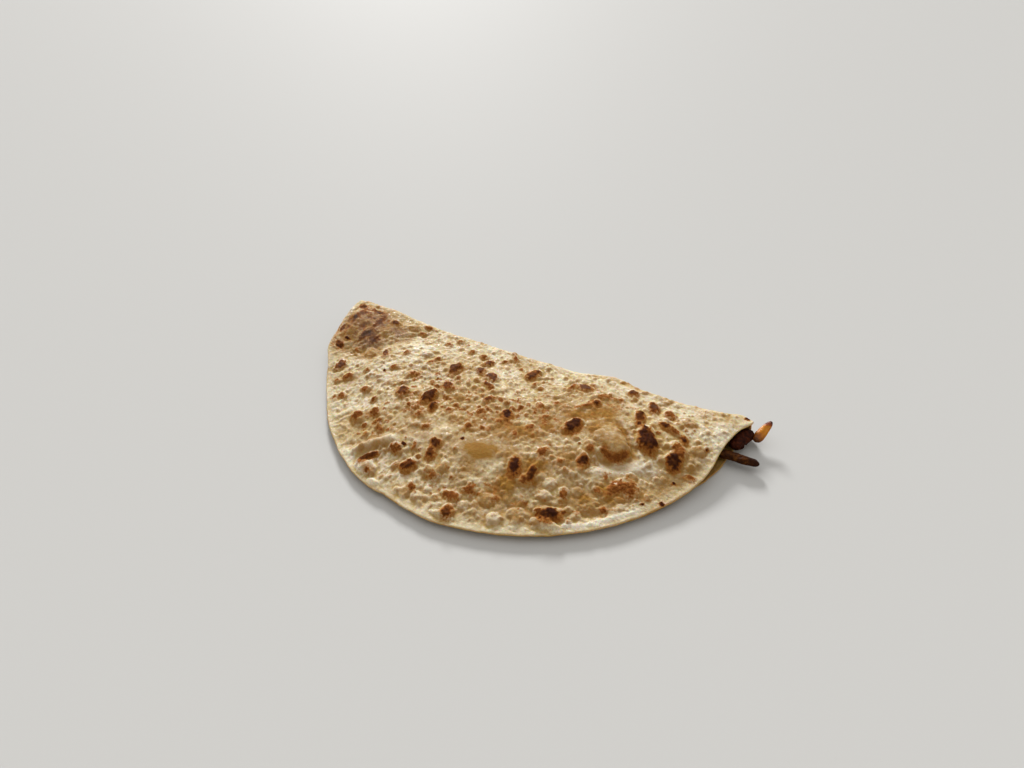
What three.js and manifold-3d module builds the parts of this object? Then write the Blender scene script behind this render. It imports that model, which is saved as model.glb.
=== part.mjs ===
// A quesadilla: one large flour tortilla folded in half over a filling of meat, pepper and cheese.
// Millimetres, +Z up. The fold runs along X at the back, the round rim is at the front (-Y), and the
// lower layer lies flat on the table. The shapes are worked out in a frame whose X axis is the fold
// line, and the finished group is moved so that the middle of its underside is the origin.
import * as THREE from "three";
import { mergeVertices } from "three/addons/utils/BufferGeometryUtils.js";
import Module from "manifold-3d";

// ---- Driving dimensions ----
const sheetThickness = 2.3; // of one layer of tortilla
const rimRadius = 143; // of the folded half disc, seen from above
const rimCentreX = 8.5; // the middle of the fold, along the fold line
const rimOverhang = 0.9; // half of how far the upper layer reaches past the lower one
const frameOrigin = new THREE.Vector3(16, -70.9, 0); // middle of the underside, in the fold's frame

// The flattened stretch of rim at the front left.
const flatAngle = THREE.MathUtils.degToRad(138);
const flatWidth = THREE.MathUtils.degToRad(30);
const flatDepth = 9.6;

// A shallow dent in the rim at the front.
const dentAngle = THREE.MathUtils.degToRad(94);
const dentWidth = THREE.MathUtils.degToRad(6);
const dentDepth = 1.9;

// The mouth at the right: the rim draws in a little, and the lower layer reaches past the upper one.
const mouthAngle = 0.2;
const mouthWidth = 0.13;
const mouthDraw = 1.6;
const mouthLedge = 2.7;

// The flap in which the right-hand end of the fold runs out.
const flapAngle = 0.03;
const flapWidth = 0.06;
const flapReach = 4.2;

// The fold: the radius of its bend, and how far back it reaches, along its length.
const bendMiddle = 4.1;
const bendLeft = { gain: 2.1, from: -52, to: -118 };
const bendRight = { gain: 0.9, from: 30, to: 90 };
const bendTip = { gain: 0.5, from: 118, to: 150 };
const foldBackLine = -2.0;
const foldBackLeft = { gain: 2.9, from: -50, to: -125 };
const foldBackRight = { gain: 2.6, from: 112, to: 152 };
const waist = { x: 5, width: 50, depth: 0.8 };
const backBubble = { x: 70, width: 13, reach: 5 };

// The upper layer: heights of its middle surface.
const rimHeight = 3.7;
const crestHeight = 11.6;
const rimSlope = 50; // the distance over which the layer comes down to the rim
const foldSlope = 45; // the distance over which it rises from the fold to the crest
const rightLiftAngle = 0.36; // how far round from each tip the rim is lifted
const leftLiftAngle = 0.45;

// Broad swells and hollows of the upper layer: place, reach along and across, turn, and height.
const swells = [
  { x: -118, y: -13, along: 28, across: 19, turn: -15, height: 3.1 }, // hump at the left of the fold
  { x: -104, y: -51, along: 24, across: 8, turn: 14, height: -2.6 }, // valley in front of the hump
  { x: -76, y: -27, along: 24, across: 8, turn: 62, height: -1.8 }, // the valley's arm to the fold
  { x: -34, y: -119.5, along: 14, across: 4, turn: 42, height: 2.2 }, // wrinkle that starts at the rim
  { x: -17, y: -107, along: 11, across: 4.5, turn: 30, height: 1.2 }, // the wrinkle's far end
  { x: 81, y: -50, along: 20, across: 10, turn: -28, height: 1.2 }, // long smooth bubble
  { x: 92, y: -57, along: 12, across: 9, turn: -25, height: 2.0 }, // its full end
  { x: 99, y: -71, along: 14, across: 5, turn: 20, height: -2.0 }, // hollow in front of the bubble
  { x: 98, y: -49.5, along: 20, across: 3.6, turn: -46, height: -1.6 }, // crease beside the lump
  { x: 121, y: -43, along: 19, across: 22, turn: 0, height: 2.0 }, // lump over the strips of meat
  { x: 27, y: -96, along: 12, across: 9, turn: 0, height: 0.7 }, // thin smooth blister
];

// Larger blisters: place, length, width, turn in degrees, and how far the top stands proud.
const blisters = [
  [105, -43, 19, 11, -52, 1.7], // over the lump on the right
  [124, -51, 16, 10, 88, 1.5],
  [116, -32, 12, 5, -14, 1.1],
  [97, -29, 9, 5, 108, 1.4],
  [101, -18, 9, 8, -60, 1.3],
  [113, -20, 8, 7, -20, 1.2],
  [86, -11, 6, 6, 0, 1.1],
  [134, -38, 7, 6, 60, 0.9],
  [68, -53, 14, 9, 62, 1.9], // the right half
  [83, -56, 8, 5, 100, 1.2],
  [80, -76, 9, 6, 95, 1.6],
  [61, -78, 10, 8, 60, 1.2],
  [50, -95, 13, 8, 95, 1.6],
  [60, -95, 10, 5, 100, 1.5],
  [72, -96, 7, 7, 0, 1.2],
  [73, -105, 7, 6, 0, 1.1],
  [81, -98, 10, 7, 80, 1.5],
  [95, -87, 8, 7, 60, 1.5],
  [103, -79, 10, 10, 0, 1.2],
  [97, -100, 10, 8, 30, 1.1],
  [78, -114, 14, 9, 8, 2.2],
  [48, -120, 9, 7, 0, 1.0],
  [36, -119, 8, 6, 0, 1.0],
  [32, -134, 8, 6, 0, 1.1],
  [56, -128, 8, 7, 0, 1.1],
  [27, -63, 7, 5, 0, 1.3],
  [23, -21, 11, 8, 70, 1.2],
  [51, -21, 8, 5, 80, 1.1],
  [58, -19, 7, 6, 0, 1.0],
  [16, -113, 7, 5, 90, 1.1],
  [2, -37, 10, 9, 0, 1.3], // the left half
  [4, -44, 8, 4, -10, 1.1],
  [-9, -33, 7, 6, 0, 1.3],
  [-10, -23, 10, 8, -20, 1.5],
  [-24, -41, 12, 10, -75, 1.8],
  [-18, -57, 9, 8, 0, 1.5],
  [-23, -71, 14, 10, 85, 1.8],
  [-40, -74, 11, 9, -50, 1.6],
  [-51, -35, 8, 8, 0, 1.1],
  [3, -105, 14, 5, 108, 1.6],
  [-3, -119, 10, 9, 40, 1.7],
  [-18, -111, 12, 8, -20, 1.5],
  [-6, -106, 8, 7, 0, 1.2],
  [-55, -101, 10, 9, 0, 1.6],
  [-30, -124, 8, 8, 0, 1.2],
  [-66, -80, 8, 6, 0, 1.1],
  [-86, -74, 10, 9, 70, 1.0],
  [-98, -67, 11, 9, 70, 1.2],
  [-86, -51, 11, 8, -20, 1.3],
  [-97, -51, 8, 7, 0, 1.1],
  [-76, -46, 8, 6, 80, 1.0],
];
const blisterSides = 8;
const blisterRings = 2;
const blisterRoot = 1.1; // how deep a blister's foot sits in the layer

// Small blisters strewn over the upper layer.
const smallBlisterCount = 30;
const smallBlisterRadius = [1.9, 3.1];
const smallBlisterSides = 6;
const smallBlisterRise = 0.36; // share of its radius
const smallBlisterMargin = 12; // kept clear of the rim

// The filling that runs through the pocket.
const layerGap = 0.65; // between the filling and the layers
const fillingRimInset = 20;
const fillingRightEnd = 145;
const fillingLeftEnd = -122;
const fillingColumns = 28;
const fillingRows = 7;
const fillingLump = 0.7; // depth of its unevenness

// Strips of the filling that hang out of the right-hand tip: centre line, half width and half
// height where the strip starts, and the share of them that is left at its far end.
const upperMeatPath = [[150.4, -22.8, 5.6], [152.3, -17, 6.0], [154.0, -11, 6.4], [155.4, -5.6, 6.8]];
const upperMeatSize = { halfWidth: 3.7, halfHeight: 2.6, tip: 1 };
const pepperPath = [[160.2, -11.0, 5.6], [161.4, -7.0, 7.0], [163.2, -2.0, 9.4], [165.0, 2.6, 11.8]];
const pepperSize = { halfWidth: 3.2, halfHeight: 2.1, tip: 0.55 };
const lowerMeatPath = [[147.2, -28.8, 5.5], [153.0, -28.8, 5.5], [159.5, -28.2, 5.2], [166.0, -27.6, 4.8]];
const lowerMeatSize = { halfWidth: 2.9, halfHeight: 2.3, tip: 0.9 };
const onionPath = [[149.0, -24.6, 3.9], [151.6, -24.8, 3.8], [154.2, -24.6, 3.4]];
const onionSize = { halfWidth: 0.9, halfHeight: 1.3, tip: 0.8 };
const stripSides = 10;
const stripSteps = 12;

// ---- Mesh grid of the tortilla ----
const columns = 36;
const bendRows = 4;
const layerRows = 15;
const bendShare = 0.054; // the part of the half disc's depth that the bend's rows cover

const wasm = await Module();
wasm.setup();

const clamp01 = (t) => Math.min(1, Math.max(0, t));
const ease = (t) => clamp01(t) ** 2 * (3 - 2 * clamp01(t));
const bell = (d) => Math.exp(-d * d);

// A repeatable stream of numbers between 0 and 1.
function randomStream(seed) {
  let state = seed;
  return () => {
    state = (state * 16807) % 2147483647;
    return state / 2147483647;
  };
}

// ---- The fold and the rim, seen from above ----
// How far a change that starts at one place and is complete at another has come at x.
function comeBy(x, { gain, from, to }) {
  return gain * ease((x - from) / (to - from));
}

function bendRadius(x) {
  return bendMiddle + comeBy(x, bendLeft) + comeBy(x, bendRight) + comeBy(x, bendTip);
}

function foldBack(x) {
  const dip = waist.depth * bell((x - waist.x) / waist.width);
  const bubble = backBubble.reach * bell((x - backBubble.x) / backBubble.width);
  return foldBackLine + comeBy(x, foldBackLeft) + comeBy(x, foldBackRight) - dip + bubble;
}

// Where the flat of a layer ends and the bend begins.
function bendLine(x) {
  return foldBack(x) - sheetThickness / 2 - bendRadius(x);
}

// The rim's radius from its centre; the angle is 0 at the right-hand tip and pi at the left.
function rimReach(angle) {
  const flat = flatDepth * bell((angle - flatAngle) / flatWidth);
  const draw = mouthDraw * bell((angle - mouthAngle) / mouthWidth);
  const dent = dentDepth * bell((angle - dentAngle) / dentWidth);
  return rimRadius - flat - dent - draw + flapReach * bell((angle - flapAngle) / flapWidth);
}

// Half of how far the upper layer reaches past the lower one.
function overhangAt(angle) {
  return rimOverhang - mouthLedge * bell((angle - mouthAngle) / mouthWidth);
}

// ---- Height of the middle of the upper layer ----
function swellHeight(x, y) {
  let height = 0;
  for (const swell of swells) {
    const turn = THREE.MathUtils.degToRad(swell.turn);
    const along = (x - swell.x) * Math.cos(turn) + (y - swell.y) * Math.sin(turn);
    const across = (y - swell.y) * Math.cos(turn) - (x - swell.x) * Math.sin(turn);
    height += swell.height * bell(Math.hypot(along / swell.along, across / swell.across));
  }
  return height;
}

function foldHeight(x) {
  return sheetThickness / 2 + 2 * bendRadius(x);
}

function rimHeightAt(angle) {
  const right = foldHeight(rimCentreX + rimRadius) - rimHeight;
  const left = foldHeight(rimCentreX - rimRadius) - rimHeight;
  const rightLift = right * bell(angle / rightLiftAngle);
  return rimHeight + rightLift + left * bell((Math.PI - angle) / leftLiftAngle);
}

function upperHeight(x, y) {
  const angle = Math.atan2(Math.max(0, -y), x - rimCentreX);
  const inward = rimReach(angle) - Math.hypot(x - rimCentreX, y);
  const forward = bendLine(x) - y;
  const top = THREE.MathUtils.lerp(foldHeight(x), crestHeight, ease(forward / foldSlope));
  const rim = rimHeightAt(angle);
  const slope = THREE.MathUtils.lerp(rim, top, ease(inward / rimSlope));
  const shaped = slope + swellHeight(x, y) * ease(inward / 12);
  return THREE.MathUtils.lerp(foldHeight(x), shaped, ease(forward / 22));
}

// ---- The folded sheet ----
// A point of the sheet's middle surface. The distance is measured along the sheet from the crest of
// the fold, and is positive in the upper layer and negative in the lower one.
function sheetPoint(x, distance) {
  const bend = bendRadius(x);
  const quarter = (bend * Math.PI) / 2;
  if (Math.abs(distance) < quarter) {
    const angle = distance / bend;
    const y = bendLine(x) + bend * Math.cos(angle);
    return new THREE.Vector3(x, y, sheetThickness / 2 + bend + bend * Math.sin(angle));
  }
  const y = bendLine(x) - (Math.abs(distance) - quarter);
  return new THREE.Vector3(x, y, distance < 0 ? sheetThickness / 2 : upperHeight(x, y));
}

// The sheet laid out flat: a point of the unit disc to its place along and across the fold.
function flatPlace(p, q) {
  const radius = Math.hypot(p, q);
  const angle = Math.atan2(q, p);
  const side = Math.tanh(8 * Math.sin(angle));
  const reach = rimReach(Math.abs(angle)) + overhangAt(Math.abs(angle)) * side;
  const x = rimCentreX + radius * reach * Math.cos(angle);
  const bend = bendRadius(x);
  const takenByBend = (bend * Math.PI) / 2 + bendLine(x);
  return [x, radius * (reach * Math.sin(angle) + takenByBend * side)];
}

function discPoint(column, row) {
  const a = (2 * column) / columns - 1;
  const level = Math.abs(row);
  const outer = bendShare + ((1 - bendShare) * (level - bendRows)) / layerRows;
  const b = Math.sign(row) * (level <= bendRows ? (bendShare * level) / bendRows : outer);
  return [a * Math.sqrt(1 - (b * b) / 2), b * Math.sqrt(1 - (a * a) / 2)];
}

// Middle point, and direction into the pocket, at a place on the unit disc.
function sheetFrame(p, q) {
  const step = 0.004;
  const at = (dp, dq) => sheetPoint(...flatPlace(p + dp, q + dq));
  const alongP = at(step, 0).sub(at(-step, 0));
  const alongQ = at(0, step).sub(at(0, -step));
  return { middle: at(0, 0), inward: alongP.cross(alongQ).normalize() };
}

// Closed mesh from vertices and quads or triangles of vertex indices.
function closedGeometry(vertices, faces) {
  const index = [];
  for (const face of faces) {
    for (let k = 2; k < face.length; k++) index.push(face[0], face[k - 1], face[k]);
  }
  const positions = vertices.flatMap((vertex) => vertex.toArray());
  const geometry = new THREE.BufferGeometry();
  geometry.setAttribute("position", new THREE.Float32BufferAttribute(positions, 3));
  geometry.setIndex(index);
  return geometry;
}

function foldedSheet() {
  const rows = bendRows + layerRows;
  const width = columns + 1;
  const vertices = [];
  const faces = [];
  const border = [];
  for (let row = -rows; row <= rows; row++) {
    for (let column = 0; column <= columns; column++) {
      const { middle, inward } = sheetFrame(...discPoint(column, row));
      const offset = inward.multiplyScalar(sheetThickness / 2);
      vertices.push(middle.clone().add(offset), middle.clone().sub(offset));
    }
  }
  const id = (column, row, outside) => 2 * ((row + rows) * width + column) + outside;
  for (let row = -rows; row < rows; row++) {
    for (let column = 0; column < columns; column++) {
      const corner = (outside) => [
        id(column, row, outside),
        id(column + 1, row, outside),
        id(column + 1, row + 1, outside),
        id(column, row + 1, outside),
      ];
      faces.push(corner(0), corner(1).reverse());
    }
  }
  // The rounded edge: one more loop of points, half a thickness further out.
  for (let column = 0; column < columns; column++) border.push([column, -rows]);
  for (let row = -rows; row < rows; row++) border.push([columns, row]);
  for (let column = columns; column > 0; column--) border.push([column, rows]);
  for (let row = rows; row > -rows; row--) border.push([0, row]);
  const firstEdge = vertices.length;
  for (const [column, row] of border) {
    const [p, q] = discPoint(column, row);
    const inside = sheetPoint(...flatPlace(p * 0.98, q * 0.98));
    const edge = sheetPoint(...flatPlace(p, q));
    const away = edge.clone().sub(inside).normalize();
    vertices.push(edge.add(away.multiplyScalar(sheetThickness * 0.35)));
  }
  border.forEach(([column, row], k) => {
    const next = (k + 1) % border.length;
    const here = [id(column, row, 0), id(column, row, 1)];
    const there = [id(...border[next], 0), id(...border[next], 1)];
    faces.push([here[0], firstEdge + k, firstEdge + next, there[0]]);
    faces.push([firstEdge + k, here[1], there[1], firstEdge + next]);
  });
  return closedGeometry(vertices, faces);
}

// ---- Blisters ----
// A low dome with a straight foot, standing on the middle of the upper layer's top.
function domeGeometry(length, width, turn, rise, sides, rings) {
  const profile = [new THREE.Vector2(0, -blisterRoot), new THREE.Vector2(1, -blisterRoot)];
  for (let ring = 0; ring <= rings; ring++) {
    const angle = (ring / rings) * (Math.PI / 2);
    profile.push(new THREE.Vector2(Math.cos(angle), ring === 0 ? 0.02 : rise * Math.sin(angle)));
  }
  profile.at(-1).x = 0;
  const dome = new THREE.LatheGeometry(profile, sides);
  dome.rotateX(Math.PI / 2);
  dome.scale(length / 2, width / 2, 1);
  dome.rotateZ(THREE.MathUtils.degToRad(turn));
  return dome;
}

function topOfUpperLayer(x, y) {
  return upperHeight(x, y) + sheetThickness / 2;
}

function domeOnTop(x, y, length, width, turn, rise, sides, rings) {
  const dome = domeGeometry(length, width, turn, rise, sides, rings);
  const slope = new THREE.Vector3(
    topOfUpperLayer(x - 2, y) - topOfUpperLayer(x + 2, y),
    topOfUpperLayer(x, y - 2) - topOfUpperLayer(x, y + 2),
    4
  ).normalize();
  const tilt = new THREE.Quaternion().setFromUnitVectors(new THREE.Vector3(0, 0, 1), slope);
  dome.applyQuaternion(tilt);
  return dome.translate(x, y, topOfUpperLayer(x, y));
}

function smallBlisterPlaces() {
  const random = randomStream(37);
  const places = [];
  while (places.length < smallBlisterCount) {
    const angle = Math.PI * random();
    const reach = rimReach(angle) - smallBlisterMargin;
    const distance = reach * Math.sqrt(random());
    const x = rimCentreX + distance * Math.cos(angle);
    const y = -distance * Math.sin(angle);
    const radius = THREE.MathUtils.lerp(...smallBlisterRadius, random());
    const clearOf = ([bx, by, length]) => Math.hypot(x - bx, y - by) > length / 2 + radius + 1.5;
    const forward = bendLine(x) - y;
    if (forward < 8 || !blisters.every(clearOf) || !places.every(clearOf)) continue;
    places.push([x, y, 2 * radius]);
  }
  return places;
}

// ---- manifold-3d: joining the blisters to the sheet ----
function toSolid(geometry) {
  const bare = geometry.clone();
  bare.deleteAttribute("normal");
  bare.deleteAttribute("uv");
  const merged = mergeVertices(bare, 1e-4);
  const index = merged.index.array;
  const triangles = [];
  for (let k = 0; k < index.length; k += 3) {
    const [a, b, c] = [index[k], index[k + 1], index[k + 2]];
    if (a !== b && b !== c && c !== a) triangles.push(a, b, c);
  }
  const vertProperties = new Float32Array(merged.getAttribute("position").array);
  const mesh = new wasm.Mesh({ numProp: 3, vertProperties, triVerts: new Uint32Array(triangles) });
  return new wasm.Manifold(mesh);
}

function toGeometry(solid) {
  const mesh = solid.getMesh();
  const geometry = new THREE.BufferGeometry();
  geometry.setAttribute("position", new THREE.Float32BufferAttribute(mesh.vertProperties, 3));
  geometry.setIndex(new THREE.BufferAttribute(mesh.triVerts, 1));
  return geometry;
}

function tortillaGeometry() {
  let solid = toSolid(foldedSheet());
  for (const [x, y, length, width, turn, rise] of blisters) {
    solid = solid.add(toSolid(domeOnTop(x, y, length, width, turn, rise, blisterSides, blisterRings)));
  }
  for (const [x, y, size] of smallBlisterPlaces()) {
    const rise = (size / 2) * smallBlisterRise;
    solid = solid.add(toSolid(domeOnTop(x, y, size, size, 0, rise, smallBlisterSides, 2)));
  }
  return toGeometry(solid);
}

// ---- The filling ----
// The lowest place of the upper layer's underside over a patch of the filling.
function ceilingOver(x, y) {
  const patch = [-4, 0, 4];
  const heights = patch.flatMap((dx) => patch.map((dy) => upperHeight(x + dx, y + dy)));
  return Math.min(...heights) - sheetThickness / 2 - layerGap;
}

function fillingGeometry() {
  const vertices = [];
  const faces = [];
  const random = randomStream(11);
  for (let column = 0; column <= fillingColumns; column++) {
    const x = THREE.MathUtils.lerp(fillingLeftEnd, fillingRightEnd, column / fillingColumns);
    const mouth = ease((x - rimCentreX - rimRadius * 0.78) / 30);
    const inset = THREE.MathUtils.lerp(fillingRimInset, 3, mouth);
    const back = bendLine(x) - 1.2;
    const front = -Math.sqrt(Math.max(0, (rimRadius - inset) ** 2 - (x - rimCentreX) ** 2));
    const flat = flatDepth * bell((Math.atan2(-front, x - rimCentreX) - flatAngle) / flatWidth);
    for (let row = 0; row <= fillingRows; row++) {
      const y = THREE.MathUtils.lerp(back, Math.min(front + flat, back - 8), row / fillingRows);
      const floor = sheetThickness + layerGap;
      const room = Math.max(0.5, ceilingOver(x, y) - floor - fillingLump);
      const top = floor + room + fillingLump * random() * clamp01(room / 3);
      vertices.push(new THREE.Vector3(x, y, floor), new THREE.Vector3(x, y, top));
    }
  }
  const id = (column, row, upper) => 2 * (column * (fillingRows + 1) + row) + upper;
  for (let column = 0; column < fillingColumns; column++) {
    for (let row = 0; row < fillingRows; row++) {
      const corners = (upper) => [
        id(column, row, upper),
        id(column, row + 1, upper),
        id(column + 1, row + 1, upper),
        id(column + 1, row, upper),
      ];
      faces.push(corners(1), corners(0).reverse());
    }
    for (const row of [0, fillingRows]) {
      const wall = [
        id(column, row, 0),
        id(column, row, 1),
        id(column + 1, row, 1),
        id(column + 1, row, 0),
      ];
      faces.push(row === 0 ? wall : wall.reverse());
    }
  }
  for (const column of [0, fillingColumns]) {
    for (let row = 0; row < fillingRows; row++) {
      const wall = [
        id(column, row, 0),
        id(column, row + 1, 0),
        id(column, row + 1, 1),
        id(column, row, 1),
      ];
      faces.push(column === 0 ? wall : wall.reverse());
    }
  }
  return closedGeometry(vertices, faces);
}

// ---- Strips ----
// A round-ended strip along a smooth line, wider than it is high.
function stripGeometry(path, { halfWidth, halfHeight, tip }) {
  const curve = new THREE.CatmullRomCurve3(path.map((point) => new THREE.Vector3(...point)));
  const up = new THREE.Vector3(0, 0, 1);
  const vertices = [curve.getPointAt(0), curve.getPointAt(1)];
  const faces = [];
  for (let step = 1; step < stripSteps; step++) {
    const share = step / stripSteps;
    const point = curve.getPointAt(share);
    const across = curve.getTangentAt(share).cross(up).normalize();
    const rise = across.clone().cross(curve.getTangentAt(share)).normalize();
    const full = Math.sqrt(1 - Math.abs(2 * share - 1) ** 5) * THREE.MathUtils.lerp(1, tip, share ** 2);
    for (let side = 0; side < stripSides; side++) {
      const angle = (2 * Math.PI * side) / stripSides;
      const sideways = across.clone().multiplyScalar(halfWidth * full * Math.cos(angle));
      const upward = rise.clone().multiplyScalar(halfHeight * full * Math.sin(angle));
      vertices.push(point.clone().add(sideways).add(upward));
    }
  }
  const id = (ring, side) => 2 + ring * stripSides + (side % stripSides);
  const lastRing = stripSteps - 2;
  for (let side = 0; side < stripSides; side++) {
    faces.push([0, id(0, side), id(0, side + 1)]);
    faces.push([1, id(lastRing, side + 1), id(lastRing, side)]);
    for (let ring = 0; ring < lastRing; ring++) {
      faces.push([id(ring, side), id(ring + 1, side), id(ring + 1, side + 1), id(ring, side + 1)]);
    }
  }
  return closedGeometry(vertices, faces);
}

// ---- The finished group ----
const materials = {
  tortilla: { color: 0xd9b77c, roughness: 0.78, metalness: 0 },
  filling: { color: 0x6b3a1e, roughness: 0.6, metalness: 0 },
  meat: { color: 0x3a1710, roughness: 0.4, metalness: 0 },
  pepper: { color: 0xc9771a, roughness: 0.3, metalness: 0 },
  onion: { color: 0xd8cfa6, roughness: 0.35, metalness: 0 },
};

function piece(name, geometry, material) {
  geometry.computeVertexNormals();
  const mesh = new THREE.Mesh(geometry, new THREE.MeshStandardMaterial(materials[material]));
  mesh.name = name;
  mesh.position.copy(frameOrigin).negate();
  return mesh;
}

const quesadilla = new THREE.Group();
quesadilla.add(
  piece("tortilla", tortillaGeometry(), "tortilla"),
  piece("filling", fillingGeometry(), "filling"),
  piece("meat_strip_upper", stripGeometry(upperMeatPath, upperMeatSize), "meat"),
  piece("pepper_strip", stripGeometry(pepperPath, pepperSize), "pepper"),
  piece("meat_strip_lower", stripGeometry(lowerMeatPath, lowerMeatSize), "meat"),
  piece("onion_sliver", stripGeometry(onionPath, onionSize), "onion")
);

export default quesadilla;
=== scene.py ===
import math

import bpy
import numpy as np
from mathutils import Matrix, Vector


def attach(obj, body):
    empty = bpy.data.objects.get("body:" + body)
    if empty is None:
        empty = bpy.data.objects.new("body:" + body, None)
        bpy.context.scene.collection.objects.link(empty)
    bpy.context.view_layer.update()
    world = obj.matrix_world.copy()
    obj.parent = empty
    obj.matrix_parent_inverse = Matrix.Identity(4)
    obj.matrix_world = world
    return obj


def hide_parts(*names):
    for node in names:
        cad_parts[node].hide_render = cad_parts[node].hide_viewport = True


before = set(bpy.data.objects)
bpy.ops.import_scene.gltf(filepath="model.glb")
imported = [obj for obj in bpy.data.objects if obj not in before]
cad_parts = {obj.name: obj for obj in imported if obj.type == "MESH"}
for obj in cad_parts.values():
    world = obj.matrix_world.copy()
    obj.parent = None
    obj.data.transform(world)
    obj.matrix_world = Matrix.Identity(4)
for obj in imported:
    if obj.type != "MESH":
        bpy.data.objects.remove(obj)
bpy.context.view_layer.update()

# A quesadilla: one large flour tortilla folded in half over meat, pepper and cheese. Lengths are in
# millimetres, in a frame whose X axis is the fold line; a finished mesh is moved so that the middle
# of the underside is the origin, and scaled to metres.
FRAME_ORIGIN = np.array((16.0, -70.9, 0.0))

# ---- The folded tortilla ----
THICKNESS = 2.3
EDGE_SHARE = 0.6  # of the thickness, at the rim
RIM_RADIUS = 143.0
RIM_CENTRE_X = 8.5
RIM_OVERHANG = 0.9
FLAT_ANGLE, FLAT_WIDTH, FLAT_DEPTH = math.radians(138), math.radians(30), 9.6
DENT_ANGLE, DENT_WIDTH, DENT_DEPTH = math.radians(94), math.radians(6), 1.9
MOUTH_ANGLE, MOUTH_WIDTH, MOUTH_DRAW, MOUTH_LEDGE = 0.2, 0.13, 1.6, 2.7
FLAP_ANGLE, FLAP_WIDTH, FLAP_REACH = 0.03, 0.06, 4.2
RAGGED_RIM, RIM_WAVES = 0.35, 20  # how far the rim wavers, and how often in a length of its radius
CORNER_ANGLE, CORNER_WIDTH, CORNER_REACH = math.radians(157), math.radians(5.5), 2.4
BEND_MIDDLE = 4.1
BEND_LEFT = (2.1, -52.0, -118.0)  # gain, from, to
BEND_RIGHT = (0.9, 30.0, 90.0)
BEND_TIP = (0.5, 118.0, 150.0)
FOLD_BACK_LINE = -2.0
FOLD_BACK_LEFT = (2.9, -50.0, -125.0)
FOLD_BACK_RIGHT = (2.6, 112.0, 152.0)
WAIST = (5.0, 50.0, 0.8)  # x, width, depth
BACK_BUBBLE = (70.0, 13.0, 5.0)
TIP_BUBBLE = (149.5, 5.0, 2.2)
RIM_HEIGHT, CREST_HEIGHT = 3.7, 11.6
RIM_SLOPE, FOLD_SLOPE = 50.0, 45.0
RIGHT_LIFT, LEFT_LIFT = 0.36, 0.45  # radians from the fold over which the rim comes down
SWELL_FADE = 12.0  # swells die out over this far from the rim
CREST_BLEND = 22.0  # the bend's own height passes into the top's over this far
SIDE_SWITCH = 8  # how sharply the overhang changes sides at the fold

# Broad swells and hollows of the upper layer, as soft patches: x, y, reach along, reach across,
# turn in degrees, and height.
SWELLS = (
    (-118, -13, 28, 19, -15, 3.1),
    (-104, -51, 24, 8, 14, -2.6),
    (-76, -27, 24, 8, 62, -1.8),
    (-34, -119.5, 14, 4, 42, 2.2),
    (-17, -107, 11, 4.5, 30, 1.2),
    (81, -50, 20, 10, -28, 1.2),
    (92, -57, 12, 9, -25, 2.0),
    (99, -71, 14, 5, 20, -2.0),
    (98, -49.5, 20, 3.6, -46, -1.6),
    (121, -43, 19, 22, 0, 2.0),
    (27, -96, 12, 9, 0, 0.7),
)

# Mesh rows and columns of the flat sheet, before the top is subdivided.
COLUMNS = 96
BEND_ROWS = 4
LAYER_ROWS = 45
BEND_SHARE = 0.054  # of the way from the fold to the rim, for the bend's rows
TOP_CUTS = 3
STAND_IN_WALL = 0.01

# How its vertices are placed. Distances with FROM run along the sheet from the fold's crest.
SLOPE_STEP = 0.4  # how far beside a place its slopes are taken
RIM_STEP = 0.985  # a share of the way out, for the direction away from the middle
EDGE_THINNING = 8.0  # width of the stretch that thins towards the rim
TOP_FROM, TOP_FADE = -6.0, 4.0
UNDER_FROM, UNDER_FADE = 2.0, 7.0
TOP_LIMIT, TOP_ROUNDING = 16.6, 2.0  # no blister stands higher than the limit above the table


def clamp01(t):
    return np.clip(t, 0.0, 1.0)


def ease(t):
    c = clamp01(t)
    return c * c * (3 - 2 * c)


def bell(d):
    return np.exp(-d * d)


def lerp(a, b, t):
    return a + (b - a) * t


def come_by(x, change):
    gain, start, end = change
    return gain * ease((x - start) / (end - start))


def bend_radius(x):
    return BEND_MIDDLE + sum(come_by(x, change) for change in (BEND_LEFT, BEND_RIGHT, BEND_TIP))


def fold_back(x):
    dip = WAIST[2] * bell((x - WAIST[0]) / WAIST[1])
    bubble = BACK_BUBBLE[2] * bell((x - BACK_BUBBLE[0]) / BACK_BUBBLE[1])
    bubble = bubble + TIP_BUBBLE[2] * bell((x - TIP_BUBBLE[0]) / TIP_BUBBLE[1])
    return FOLD_BACK_LINE + come_by(x, FOLD_BACK_LEFT) + come_by(x, FOLD_BACK_RIGHT) - dip + bubble


def bend_line(x):
    return fold_back(x) - THICKNESS / 2 - bend_radius(x)


def crest_line(x):
    """Plan Y of the fold's crest with the upper layer rolled out flat."""
    return bend_line(x) + bend_radius(x) * math.pi / 2


def rim_reach(angle):
    """Distance of the rim from the middle of the disc, between the two layers' own edges."""
    flat = FLAT_DEPTH * bell((angle - FLAT_ANGLE) / FLAT_WIDTH)
    draw = MOUTH_DRAW * bell((angle - MOUTH_ANGLE) / MOUTH_WIDTH)
    dent = DENT_DEPTH * bell((angle - DENT_ANGLE) / DENT_WIDTH)
    flap = FLAP_REACH * bell((angle - FLAP_ANGLE) / FLAP_WIDTH)
    corner = CORNER_REACH * bell((angle - CORNER_ANGLE) / CORNER_WIDTH)
    return RIM_RADIUS - flat - dent - draw + flap + corner


def overhang_at(angle):
    """Half of how far the upper layer reaches past the lower one."""
    return RIM_OVERHANG - MOUTH_LEDGE * bell((angle - MOUTH_ANGLE) / MOUTH_WIDTH)


def turned(x, y, cx, cy, degrees):
    t = math.radians(degrees)
    along = (x - cx) * math.cos(t) + (y - cy) * math.sin(t)
    across = (y - cy) * math.cos(t) - (x - cx) * math.sin(t)
    return along, across


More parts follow.
